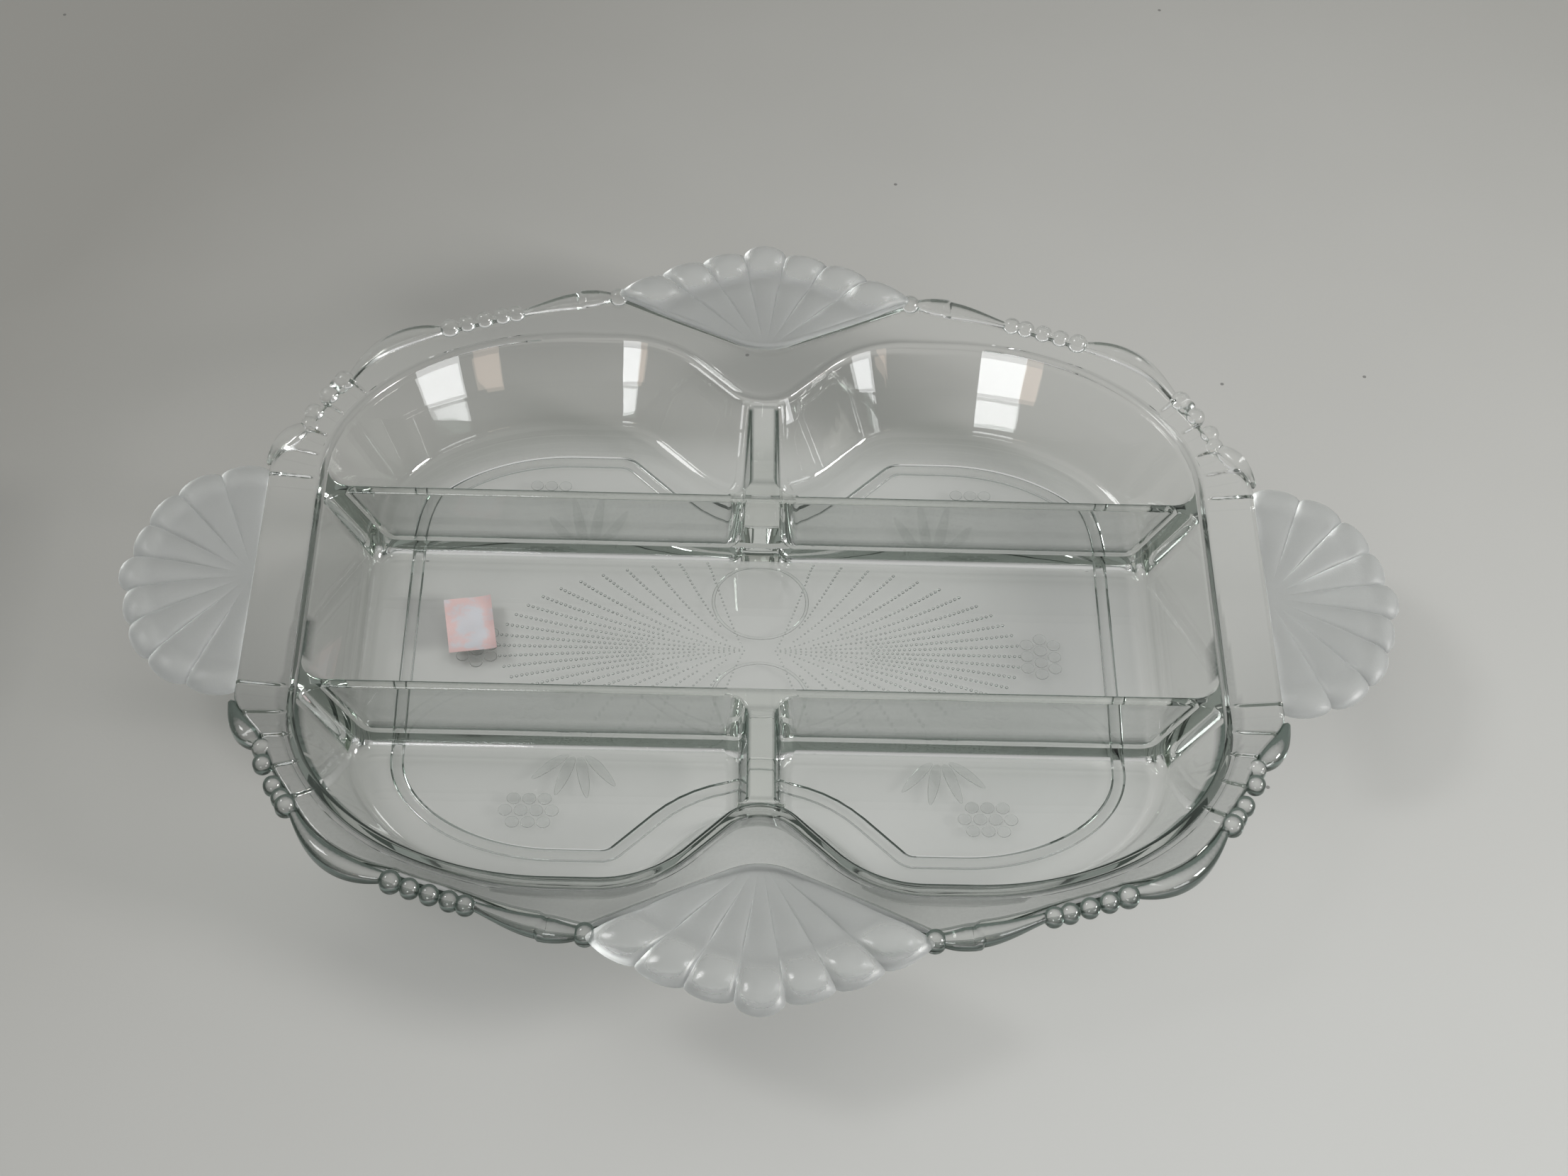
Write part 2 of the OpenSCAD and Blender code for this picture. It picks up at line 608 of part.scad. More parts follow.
// Berries: rows of flattened domes at the ends of the sheaf and beyond the leaves
module berry_bunch() {
    for (row = [0:2], k = [0:berry_rows[row] - 1])
        translate([(row - 1) * berry_pitch * row_pitch_share,
                (k - (berry_rows[row] - 1) / 2) * berry_pitch, 0])
            intersection() {
                translate([0, 0, berry_r - pattern_h]) sphere(r = berry_r);
                translate([-berry_r, -berry_r, -pattern_h])
                    cube([2 * berry_r, 2 * berry_r, pattern_h]);
            }
}
module berry_clusters() {
    color(thick_glass) translate([0, 0, pane_z]) {
        for (hand = [-1, 1]) translate([hand * side_bunch_x, 0, 0]) berry_bunch();
        quarters() translate([well_half_l * lobe_bunch_shares[0], lobe_room * lobe_bunch_shares[1], 0])
            rotate([0, 0, 90]) berry_bunch();
    }
}

// Leaves: pointed ovals that spread from beside each divider towards the berries
leaf_angles = [-46, -18, 10, 38];
leaf_stem_share = 0.2;
leaf_body_share = 0.6;
leaf_width_share = 0.22;
leaf_sides = 8;
module leaf(l, w) {
    polygon(concat([for (k = [0:leaf_sides]) [w / 2 * sin(180 * k / leaf_sides), l * k / leaf_sides]],
        [for (k = [leaf_sides - 1:-1:1]) [-w / 2 * sin(180 * k / leaf_sides), l * k / leaf_sides]]));
}
module leaf_sprays() {
    color(thick_glass) translate([0, 0, pane_z - pattern_h]) linear_extrude(pattern_h)
        quarters() translate([well_half_l * leaf_root_shares[0], lobe_room * leaf_root_shares[1]])
            for (a = leaf_angles) rotate([0, 0, a])
                translate([0, leaf_l * leaf_stem_share])
                    leaf(leaf_l * (leaf_body_share + leaf_stem_share * cos(a)), leaf_l * leaf_width_share);
}

module price_sticker() {
    color(paper) translate([sticker_inset - well_half_l, sticker_y, floor_z]) rotate(sticker_turn)
        translate([-sticker_w / 2, -sticker_l / 2, 0]) cube([sticker_w, sticker_l, sticker_t]);
}

floor_pane();
foot_ring();
well_wall();
rim_flange();
rear_divider();
front_divider();
rear_spine();
front_spine();
left_shell();
right_shell();
front_shell();
rear_shell();
side_scrolls();
corner_scrolls();
lobe_scrolls();
corner_beads();
cluster_beads();
scroll_curls();
sheaf_rays();
crossing_discs();
berry_clusters();
leaf_sprays();
price_sticker();
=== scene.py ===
"""Divided relish tray in clear pressed glass, with satin scallop shells for handles.

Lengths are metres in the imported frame: X along the tray, Y to its back, Z up from the table.
"""

import math

import bmesh
import bpy
import numpy as np
from bpy.props import FloatProperty, FloatVectorProperty, PointerProperty
from mathutils import Matrix, Vector
from mathutils.kdtree import KDTree


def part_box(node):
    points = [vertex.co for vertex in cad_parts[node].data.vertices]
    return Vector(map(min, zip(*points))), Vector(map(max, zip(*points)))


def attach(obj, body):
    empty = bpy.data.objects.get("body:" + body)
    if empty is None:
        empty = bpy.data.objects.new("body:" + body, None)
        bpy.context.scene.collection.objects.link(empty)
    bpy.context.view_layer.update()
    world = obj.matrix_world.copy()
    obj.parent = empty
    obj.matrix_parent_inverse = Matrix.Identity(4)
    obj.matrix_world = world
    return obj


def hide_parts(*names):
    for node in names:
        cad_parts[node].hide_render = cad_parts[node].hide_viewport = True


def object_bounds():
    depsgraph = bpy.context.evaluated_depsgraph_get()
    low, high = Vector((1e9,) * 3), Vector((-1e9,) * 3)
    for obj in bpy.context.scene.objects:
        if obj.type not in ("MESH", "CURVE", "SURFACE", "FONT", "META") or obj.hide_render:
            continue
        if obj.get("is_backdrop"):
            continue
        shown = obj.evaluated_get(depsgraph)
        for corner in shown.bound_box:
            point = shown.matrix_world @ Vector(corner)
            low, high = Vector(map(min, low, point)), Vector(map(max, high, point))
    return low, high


bl_info = {
    "name": "Relish Tray",
    "version": (1, 0, 0),
    "blender": (4, 5, 0),
    "location": "3D View > Sidebar > Relish Tray",
    "description": "Builds a divided relish tray in pressed glass round its packed frame",
    "category": "Add Mesh",
}

MM = 0.001

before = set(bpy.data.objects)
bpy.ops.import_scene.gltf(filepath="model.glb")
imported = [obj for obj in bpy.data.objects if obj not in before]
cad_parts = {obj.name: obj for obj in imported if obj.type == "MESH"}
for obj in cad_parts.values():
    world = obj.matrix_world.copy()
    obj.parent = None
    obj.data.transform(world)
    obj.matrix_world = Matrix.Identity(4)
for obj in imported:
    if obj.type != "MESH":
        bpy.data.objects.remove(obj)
cad_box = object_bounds()


# Sizes and finishes


def length(name, size, description):
    """Length property with its default in metres."""
    return FloatProperty(
        name=name, description=description, default=size, subtype="DISTANCE", unit="LENGTH",
        precision=4, soft_min=0.0, soft_max=1.0,
    )


def amount(name, value, description):
    return FloatProperty(name=name, description=description, default=value, min=0.0)


def share(name, value, description):
    return FloatProperty(name=name, description=description, default=value, min=0.0, max=1.0)


def angle(name, degrees, description):
    return FloatProperty(
        name=name, description=description, default=math.radians(degrees), subtype="ANGLE"
    )


def colour(name, value, description):
    """Colour property with its default as linear red, green and blue."""
    return FloatVectorProperty(
        name=name, description=description, default=value, subtype="COLOR", size=3, min=0.0, max=1.0
    )


class RelishTraySizes(bpy.types.PropertyGroup):
    """Sizes of the tray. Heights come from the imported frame."""

    well_half_l: length("Well half length", 118 * MM, "Half the length of the well at its rim")
    well_half_w: length("Well half width", 91.5 * MM, "Half the width of the well over its lobes")
    crown_x: length("Crown place", 52 * MM, "Distance of each lobe's crown from the middle line")
    lobe_flat: length("Lobe flat", 12 * MM, "Flat stretch at the crown of each lobe")
    lobe_r: length("Lobe radius", 30 * MM, "Radius of the lobe's shoulder beside the notch")
    notch_r: length("Notch radius", 12 * MM, "Radius of the notch between two lobes")
    rim_h: length("Rim height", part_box("well_wall")[1].z, "Height of the well's rim")
    wall_run: length("Wall run", 13.5 * MM, "How far the wall leans in between rim and floor")
    floor_fillet: length("Floor fillet", 5 * MM, "Radius of the fillet between wall and floor")
    rim_round: length("Rim round", 1.6 * MM, "Radius that eases the rim's inner edge")
    foot_round: length("Foot round", 4 * MM, "Radius that eases the wall's lower outer edge")
    wall_t: length("Wall thickness", 4.4 * MM, "Thickness of the wall, measured level")
    floor_z: length("Floor height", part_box("floor_pane")[1].z, "Height of the floor's top")
    pane_z: length("Pane height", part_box("foot_ring")[1].z, "Height of the floor's underside")
    ring_inset: length("Ring inset", 22.5 * MM, "Distance of the foot ring inside the rim")
    ring_w: length("Ring width", 3.2 * MM, "Width of the foot ring")
    divider_y: length("Divider place", 33 * MM, "Distance of each divider from the middle line")
    divider_t: length("Divider thickness", 2.4 * MM, "Thickness of a divider at its top")
    divider_top: length("Divider height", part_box("rear_divider")[1].z, "Height of divider tops")
    spine_t: length("Spine thickness", 7.2 * MM, "Thickness of a spine at its top")
    top_round: length("Divider top round", 1.1 * MM, "Radius that eases the dividers' top edges")
    foot_fillet: length("Divider foot fillet", 3.6 * MM, "Fillet where a divider meets the floor")
    end_fillet: length("Divider end fillet", 6 * MM, "Fillet where a divider meets a wall")
    notch_fillet: length("Spine fillet", 2.4 * MM, "Fillet where a spine meets the notch")
    band_side: length("Side flange", 15 * MM, "Width of the flange beside the side shells")
    band_corner: length("Corner flange", 8.5 * MM, "Width of the flange behind the corner beads")
    band_lobe: length("Lobe flange", 13 * MM, "Width of the flange at the crown of each lobe")
    band_swell: length("Flange swell", 2 * MM, "Extra width inside the long corner scroll")
    band_notch: length("Notch flange", 20 * MM, "Width of the flange at the bottom of the notch")
    edge_h: length("Edge height", 30 * MM, "Height of the flange's outer edge")
    flange_t: length("Flange thickness", 4 * MM, "Thickness of the flange")
    edge_round: length("Edge round", 1.3 * MM, "Radius that eases the flange's outer edge")
    pleat_h: length("Pleat height", 0.9 * MM, "Height of the pleats' ridges on the flange")
    pleat_w: length("Pleat width", 1.8 * MM, "Width of the pleats' ridges on the flange")
    pleat_back: length("Pleat place", 2.6 * MM, "First pleat's distance from the corner")
    side_half: length("Side shell half width", 39 * MM, "Half the width of a side shell")
    side_ease: length("Side shell ease", 1 * MM, "Stretch of a side shell where the rim turns")
    side_reach: length("Side shell reach", 33.2 * MM, "Reach of a side shell beyond the flange")
    lobe_lead: length("Middle lobe lead", 1.8 * MM, "Extra reach of each shell's middle lobe")
    hinge_set: length("Hinge set", 2.5 * MM, "End shells' hinge inside the flange's edge")
    end_reach: length("End shell reach", 41.8 * MM, "Reach of an end shell from its hinge")
    end_wing: length("End shell wing", 17.2 * MM, "Extra half width of an opened end shell")
    root_r: length("Root radius", 18 * MM, "Radius of the flange's edge behind an end shell")
    root_lap: length("Root lap", 1 * MM, "Extra half width of that edge")
    shell_t: length("Shell thickness", 3 * MM, "Thickness of a shell in its grooves")
    ray_rise: length("Ray rise", 1.7 * MM, "Height of the shells' rays above their grooves")
    scallop: length("Scallop", 2 * MM, "Depth of the scallops between the lobes")
    shell_drop: length("Shell drop", 1.4 * MM, "Shells' middle plane below the flange's edge")
    tip_rise: length("Tip rise", 0.95 * MM, "Rise of the bead at each end shell lobe")
    side_tip_rise: length("Side tip rise", 0.4 * MM, "Rise of the bead at each side shell lobe")
    crest_w: length("Crest width", 2.2 * MM, "Width of the crest behind each end shell")
    scroll_t: length("Scroll thickness", 5.5 * MM, "Greatest thickness of the scrolls")
    bead_d: length("Bead diameter", 5 * MM, "Diameter of the loose beads")
    curl_d: length("Curl diameter", 5.6 * MM, "Diameter of the curls that end the scrolls")
    moulding_rise: length("Moulding rise", 2.3 * MM, "Moulding's centre above the flange's foot")
    pattern_h: length("Pattern depth", 0.6 * MM, "Depth of the pressed pattern")
    side_margin: length("Side margin", 11 * MM, "From the foot ring to the sheaf's berries")
    ray_w: length("Ray width", 1.1 * MM, "Width of one stippled ray")
    stipple_pitch: length("Stipple pitch", 1.35 * MM, "Distance between the dots of a ray")
    berry_r: length("Berry radius", 1.9 * MM, "Radius of a berry")
    sticker_l: length("Sticker length", 19 * MM, "Length of the price sticker")
    sticker_w: length("Sticker width", 12.7 * MM, "Width of the price sticker")
    sticker_inset: length("Sticker inset", 40 * MM, "Sticker's middle inside the left rim")
    sticker_y: length("Sticker place", 5.2 * MM, "Sticker's middle across the tray")


class RelishTrayFinish(bpy.types.PropertyGroup):
    """Colours and surface values of the glass, the paper and the table."""

    glass_tint: colour("Glass tint", (0.82, 0.85, 0.80), "Colour that thick clear glass takes")
    # Painted dark outline of the clear glass, and the colour of its painted shade
    glass_edge_shade: colour("Glass edge", (0.045, 0.072, 0.06), "Clear glass seen along its surface")
    tint_density: amount("Tint density", 16.0, "Absorption of the clear glass, per metre")
    satin_white: colour("Satin white", (0.69, 0.705, 0.70), "Colour of the frosted shells")
    # Painted highlight along the frosted shells' edges; the pearls are made lighter with it
    satin_rim_highlight: colour("Satin rim", (0.92, 0.94, 0.93), "Frosted shells along their edges")
    satin_roughness: share("Satin roughness", 0.55, "Roughness of the frosted shells")
    pearl_roughness: share("Pearl roughness", 0.16, "Roughness of the bead that ends each ray")
    paper_pink: colour("Sticker pink", (0.58, 0.40, 0.385), "Colour of the sticker's border")
    paper_white: colour("Sticker white", (0.49, 0.50, 0.53), "Colour of the sticker's middle")
    # Painted light on the table under the tray, for light that the glass gathers
    painted_gathered_light: share("Gathered light", 0.27, "How far the tray brightens the table under it")
    # The table's three colours carry painted light: dark far left and behind, light near right
    floor_dark: colour("Table, far left", (0.265, 0.262, 0.245), "Table behind the tray, left")
    floor_mid: colour("Table, middle", (0.40, 0.40, 0.384), "Table colour under the tray")
    floor_light: colour("Table, near right", (0.50, 0.505, 0.493), "Table before it, right")


class RelishTrayStage(bpy.types.PropertyGroup):
    """Camera and lights."""

    lens: amount("Lens", 64.886, "Focal length on a 36 mm sensor")
    distance: length("Camera distance", 751.8 * MM, "Distance of the camera from its target")
    target: FloatVectorProperty(
        name="Target", description="Point that the camera looks at", size=3,
        subtype="TRANSLATION", default=(5.87 * MM, 7.75 * MM, 20 * MM),
    )
    azimuth: angle("Azimuth", -2.35, "Camera's turn round the tray")
    elevation: angle("Elevation", 50, "Camera's height over the table")
    roll: angle("Roll", 3.11, "Camera's tilt about its own line of sight")
    sky: amount("Sky", 1.0, "Strength of the light from all round")
    key: amount("Key", 22.0, "Power of the window at the right")


# Node helpers


def operation(kind, flipped=False):
    """Method that makes a math node from a field and other values."""

    def method(self, *others):
        values = (*others, self) if flipped else (self, *others)
        return field(self.tree, "ShaderNodeMath", dict(enumerate(values)), operation=kind)

    return method


class Field:
    """Output of a node that can be used in sums like a number."""

    def __init__(self, tree, socket):
        self.tree = tree
        self.socket = socket

    __add__ = __radd__ = operation("ADD")
    __mul__ = __rmul__ = operation("MULTIPLY")
    __sub__, __rsub__ = operation("SUBTRACT"), operation("SUBTRACT", flipped=True)
    __truediv__, __rtruediv__ = operation("DIVIDE"), operation("DIVIDE", flipped=True)
    __pow__, __abs__ = operation("POWER"), operation("ABSOLUTE")
    least, most = operation("MAXIMUM"), operation("MINIMUM")
    over, under = operation("GREATER_THAN"), operation("LESS_THAN")
    sine, cosine, root = operation("SINE"), operation("COSINE"), operation("SQRT")
    sign, floor = operation("SIGN"), operation("FLOOR")

    def smooth(self):
        """Smooth step of the value between 0 and 1."""
        u = self.least(0.0).most(1.0)
        return u * u * (3.0 - 2.0 * u)


def node(tree, kind, slots=None, **settings):
    """Adds a node with its settings, and links or sets its slots by name or number."""
    made = tree.nodes.new(kind)
    for key, value in settings.items():
        setattr(made, key, value)
    for key, value in (slots or {}).items():
        if isinstance(value, Field):
            tree.links.new(value.socket, made.inputs[key])
        else:
            made.inputs[key].default_value = value
    return made


def field(tree, kind, slots=None, out=0, **settings):
    """Adds a node and gives one of its outputs, by name or number, as a field."""
    return Field(tree, node(tree, kind, slots, **settings).outputs[out])


def outputs(made, *names):
    """Outputs of a node as fields."""
    return [Field(made.id_data, made.outputs[name]) for name in names]


def split(tree, vector):
    return outputs(node(tree, "ShaderNodeSeparateXYZ", {0: vector}), 0, 1, 2)


def vector(tree, *parts):
    return field(tree, "ShaderNodeCombineXYZ", dict(enumerate(parts)))


def position(tree):
    return split(tree, field(tree, "GeometryNodeInputPosition"))


def moved(shape, *place):
    """Shape with each of its points moved to a place."""
    slots = {"Geometry": shape, "Position": vector(shape.tree, *place)}
    return field(shape.tree, "GeometryNodeSetPosition", slots)


def stored(shape, name, value):
    """Shape that carries a value under a name."""
    slots = {"Geometry": shape, "Name": name, "Value": value}
    return field(shape.tree, "GeometryNodeStoreNamedAttribute", slots, data_type="FLOAT")


def named(tree, name, kind="FLOAT"):
    """Value that a geometry tree finds under a name."""
    return field(tree, "GeometryNodeInputNamedAttribute", {"Name": name}, data_type=kind)


def merged(shape, distance):
    slots = {"Geometry": shape, "Distance": distance}
    return field(shape.tree, "GeometryNodeMergeByDistance", slots)


def set_on(points, shape, **slots):
    """A copy of a shape on each point."""
    slots = {"Points": points, "Instance": shape, **slots}
    return field(shape.tree, "GeometryNodeInstanceOnPoints", slots)


def unit_ball(tree, segments, rings):
    slots = {"Segments": segments, "Rings": rings, "Radius": 1.0}
    return field(tree, "GeometryNodeMeshUVSphere", slots)


def new_group(name, kind, inputs, results):
    """New node tree and its inputs by name. An input has a kind, or a number to start from."""
    tree = bpy.data.node_groups.new(name, kind)
    kinds = {float: "Float", int: "Int"}
    for label, start in inputs.items():
        word = kinds.get(type(start), start)
        socket = tree.interface.new_socket(
            label, in_out="INPUT", socket_type=f"NodeSocket{word}"
        )
        if word != start:
            socket.default_value = start
    for label, word in results.items():
        tree.interface.new_socket(label, in_out="OUTPUT", socket_type=f"NodeSocket{word}")
    entry = tree.nodes.new("NodeGroupInput")
    return tree, {s.name: Field(tree, s) for s in entry.outputs if s.name}


def geometry_tree(name, inputs):
    """New geometry tree that grows a glass shape from a guide mesh and named inputs."""
    inputs = {"Guide": "Geometry", **inputs, "Glass": "Material"}
    return new_group(name, "GeometryNodeTree", inputs, {"Shape": "Geometry"})


def end_tree(shape, values):
    """Makes instances real, gives them their material and ends the tree."""
    tree = shape.tree
    smoothed = field(tree, "GeometryNodeSetShadeSmooth", {"Geometry": shape})
    real = field(tree, "GeometryNodeRealizeInstances", {"Geometry": smoothed})
    slots = {"Geometry": real, "Material": values["Glass"]}
    node(tree, "NodeGroupOutput", {"Shape": field(tree, "GeometryNodeSetMaterial", slots)})
    return tree


# Mesh helpers


def placed(name, mesh):
    obj = bpy.data.objects.new(name, mesh)
    bpy.context.scene.collection.objects.link(obj)
    return obj


def evaluated_mesh(holder, name):
    bpy.context.view_layer.update()
    graph = bpy.context.evaluated_depsgraph_get()
    mesh = bpy.data.meshes.new_from_object(holder.evaluated_get(graph), depsgraph=graph)
    mesh.name = name
    return mesh


def grown(name, tree, material, guide, sizes):
    """Plain mesh object that a geometry tree grows on a guide mesh."""
    holder = placed(name + "_guide", guide)
    modifier = holder.modifiers.new("grow", "NODES")
    modifier.node_group = tree
    slots = {i.name: i.identifier for i in tree.interface.items_tree if i.in_out == "INPUT"}
    for label, value in {"Glass": material, **sizes}.items():
        modifier[slots[label]] = value
    mesh = evaluated_mesh(holder, name)
    bpy.data.objects.remove(holder)
    return placed(name, mesh)


def store(mesh, name, values):
    """Stores a number or a vector for each point of a mesh."""
    values = np.array(values, np.float32)
    kind, key = ("FLOAT_VECTOR", "vector") if values.ndim == 2 else ("FLOAT", "value")
    mesh.attributes.new(name, kind, "POINT").data.foreach_set(key, values.ravel())


def guide_mesh(name, points, edges=(), **attributes):
    """Mesh of loose points or lines that carries named values for a geometry tree."""
    mesh = bpy.data.meshes.new(name)
    mesh.from_pydata([tuple(p) for p in points], list(edges), [])
    for key, values in attributes.items():
        store(mesh, key, values)
    return mesh


def lines_mesh(name, lines, **attributes):
    """Guide mesh of several lines, each a list of points."""
    points, edges = [], []
    for line in lines:
        start = len(points)
        points += list(line)
        edges += [(start + k, start + k + 1) for k in range(len(line) - 1)]
    return guide_mesh(name, points, edges, **attributes)


ROUNDING = 0.0005 * MM
WELD = 0.002 * MM
CUT_WELD = 0.003 * MM


def tidy_mesh(mesh, merge=ROUNDING):
    """Merges a mesh's doubles and turns its faces outwards."""
    shape = bmesh.new()
    shape.from_mesh(mesh)
    bmesh.ops.remove_doubles(shape, verts=shape.verts, dist=merge)
    bmesh.ops.recalc_face_normals(shape, faces=shape.faces)
    shape.to_mesh(mesh)
    shape.free()


def closed_mesh(name, points, faces):
    mesh = bpy.data.meshes.new(name)
    mesh.from_pydata([tuple(p) for p in points], [], faces)
    tidy_mesh(mesh)
    return mesh


def rings_mesh(name, rings):
    """Closed mesh through like rings, with a flat face over the first and the last."""
    n = len(rings[0])
    faces = [
        (r * n + k, r * n + (k + 1) % n, (r + 1) * n + (k + 1) % n, (r + 1) * n + k)
        for r in range(len(rings) - 1) for k in range(n)
    ]
    faces.append(tuple(range(n)))
    faces.append(tuple(range((len(rings) - 1) * n, len(rings) * n)))
    return closed_mesh(name, np.vstack(rings), faces)


def combined(base, parts, name, operation="UNION"):
    """One closed mesh from several that overlap, or the first with the others cut out."""
    holder = placed(name + "_base", base)
    others = [placed(name + "_part", part) for part in parts]
    for other in others:
        joint = holder.modifiers.new("joint", "BOOLEAN")
        joint.operation = operation
        joint.solver = "MANIFOLD"
        joint.object = other
    mesh = evaluated_mesh(holder, name)
    for obj in (holder, *others):
        bpy.data.objects.remove(obj)
    return mesh


def crease(mesh, degrees):
    """Smooth shading with a sharp edge wherever the faces turn by more than an angle."""
    mesh.shade_smooth()
    mesh.set_sharp_from_angle(angle=math.radians(degrees))


def ruled_by_flats(mesh, degrees):
    """Smooth shading in which the large flat faces keep their own direction."""
    crease(mesh, degrees)
    holder = placed("shading", mesh)
    weigh = holder.modifiers.new("weigh", "WEIGHTED_NORMAL")
    weigh.mode = "FACE_AREA"
    weigh.keep_sharp = True
    made = evaluated_mesh(holder, mesh.name)
    bpy.data.objects.remove(holder)
    return made


def finished(obj, material, slot, *nodes):
    """Gives a piece its material and its place in the frame, and hides the parts that it stands
    for.
    """
    obj.data.materials.clear()
    obj.data.materials.append(material)
    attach(obj, "root")
    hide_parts(*nodes)


# Materials

GLASS_IOR, PAPER_IOR = 1.5, 1.45
SATIN_PASSING, SATIN_ROUGHNESS_SPREAD, SATIN_DIP = 0.85, 0.07, 0.93
TURNS_IN_GLASS = 4.5
VEIL_BLEND, EVEN_BLEND = 0.3, 0.5
HAZE_GRAIN_SHARE, HAZE_WAVE_SHARE = 0.6, 0.4
WORN_ROUGHNESS = 0.16

# How far the painted colour along an edge shows, and how narrow it is: shade on clear glass, a
# highlight on satin glass, lighter pearls
EDGE_POWER = 3.0
CLEAR_EDGE_SHARE, SATIN_EDGE_SHARE, PEARL_EDGE_SHARE = 0.5, 0.6, 0.45

# Painted shade on clear glass: how dark it is face on, how fast that grows along its surface, how
# uneven it is
DARK_FACE_ON, DARK_GROWTH, DARK_GRAZING = 0.05, 1.3, 1.6
UNEVEN_FROM, UNEVEN_RANGE = 0.75, 0.5

# Colours of clear glass, then tints of light through glass: grazing it, and trapped in it
WHITE, CLEAR_DIP, CLEAR_GRAZING = (1, 1, 1), (0.985, 0.995, 0.99), (0.58, 0.60, 0.59)
CLEAR_DEEP, PATTERN_DEEP = (0.42, 0.465, 0.44), (0.93, 0.94, 0.93)
SATIN_TINTS = ((0.56, 0.57, 0.57), (0.34, 0.35, 0.35), (0.74, 0.75, 0.75))

# Sticker: its blots' pull on the border, where the border starts, and how worn it is
BLOT_PULL, BORDER_FROM, BORDER_RUN, SIDE_BORDER_SHARE = 2.6, 0.3, 0.75, 0.92
WORN_PAPER, WORN_SHARE = (0.56, 0.50, 0.50), 0.35

# Table: painted light, its level at the middle and how that changes to the right, the back and both
# sides
TABLE_LIGHT, TO_RIGHT, TO_BACK, TO_SIDES, SIDE_SPAN = 0.62, 0.88, 1.2, 0.12, 200 * MM
TABLE_STOPS = (0.12, 0.5, 0.88)
MOTTLE_SHARE, DUST_CHANCE, DUST_SIZE, DUST_SHARE = 0.06, 0.9, 0.012, 0.6
DUST = (0.05, 0.05, 0.05)

# Painted light under the tray, for light that the glass gathers: its half spans, how far it fades
# past them, how patchy it is
GATHER_X, GATHER_Y, GATHER_REACH = 105 * MM, 78 * MM, 1.35
PATCH_FROM, PATCH_MOTTLE, PATCH_TO_RIGHT = 0.9, 0.2, 1.5


def blank_material(name):
    material = bpy.data.materials.new(name)
    material.use_nodes = True
    material.node_tree.nodes.clear()
    return material, material.node_tree


def mixed(part, first, second):
    """Colour between two others, each a field or linear red, green and blue."""
    first, second = (c if isinstance(c, Field) else (*c, 1) for c in (first, second))
    slots = {"Factor": part, 6: first, 7: second}
    return field(part.tree, "ShaderNodeMix", slots, 2, data_type="RGBA")


def noise(place, scale, detail, roughness=0.5):
    slots = {"Vector": place, "Scale": scale, "Detail": detail, "Roughness": roughness}
    return field(place.tree, "ShaderNodeTexNoise", slots)


def bumped(height, strength, depth):
    slots = {"Strength": strength, "Distance": depth, "Height": height}
    return field(height.tree, "ShaderNodeBump", slots)


def object_place(tree):
    return field(tree, "ShaderNodeTexCoord", out="Object")


def facing_away(tree, blend):
    return field(tree, "ShaderNodeLayerWeight", {"Blend": blend}, "Facing")


def painted(tree, *names):
    """Values that a finished mesh carries under names."""
    return [field(tree, "ShaderNodeAttribute", out=2, attribute_name=name) for name in names]


def pressed_surface():
    """Group with the slow waves and faint haze that a mould leaves on pressed glass."""
    if "pressed_surface" in bpy.data.node_groups:
        return bpy.data.node_groups["pressed_surface"]
    tree, v = new_group(
        "pressed_surface", "ShaderNodeTree",
        {
            "Wave Size": 14 * MM, "Wave Depth": 0.03 * MM, "Grain Size": 0.8 * MM,
            "Grain Share": 0.0, "Low Roughness": 0.0, "High Roughness": 0.02,
        },
        {"Normal": "Vector", "Roughness": "Float", "Mask": "Float"},
    )
    place = object_place(tree)
    waves = noise(place, 1.0 / v["Wave Size"], 1.0, 0.4)
    grain = noise(place, 1.0 / v["Grain Size"], 2.0)
    height = waves * (1.0 - v["Grain Share"]) + grain * v["Grain Share"]
    haze = (grain * HAZE_GRAIN_SHARE + waves * HAZE_WAVE_SHARE).smooth()
    low, high = v["Low Roughness"], v["High Roughness"]
    node(
        tree, "NodeGroupOutput",
        {
            "Normal": bumped(height, 1.0, v["Wave Depth"]),
            "Roughness": low + (high - low) * haze, "Mask": haze,
        },
    )
    return tree


def pressed_skin(tree, values):
    """Normal, roughness and haze of pressed glass."""
    skin = node(tree, "ShaderNodeGroup", values, node_tree=pressed_surface())
    return outputs(skin, "Normal", "Roughness", "Mask")


def with_soft_shadow(surface, face_tint, edge_tint, deep_tint):
    """Lets light through a glass surface for shadows and for what the table receives.

    A ray that has turned often inside the glass leaves it straight, tinted at each crossing.
    """
    tree = surface.tree
    path = node(tree, "ShaderNodeLightPath")
    shadow, diffuse, turns = outputs(path, "Is Shadow Ray", "Is Diffuse Ray", "Ray Depth")
    passing = (shadow + diffuse).most(1.0)
    tint = mixed(facing_away(tree, VEIL_BLEND), face_tint, edge_tint)
    veil = field(
        tree, "ShaderNodeBsdfTransparent", {"Color": mixed(passing, deep_tint, tint)}
    )
    through = passing.least(turns.over(TURNS_IN_GLASS))
    return field(tree, "ShaderNodeMixShader", {0: through, 1: surface, 2: veil})


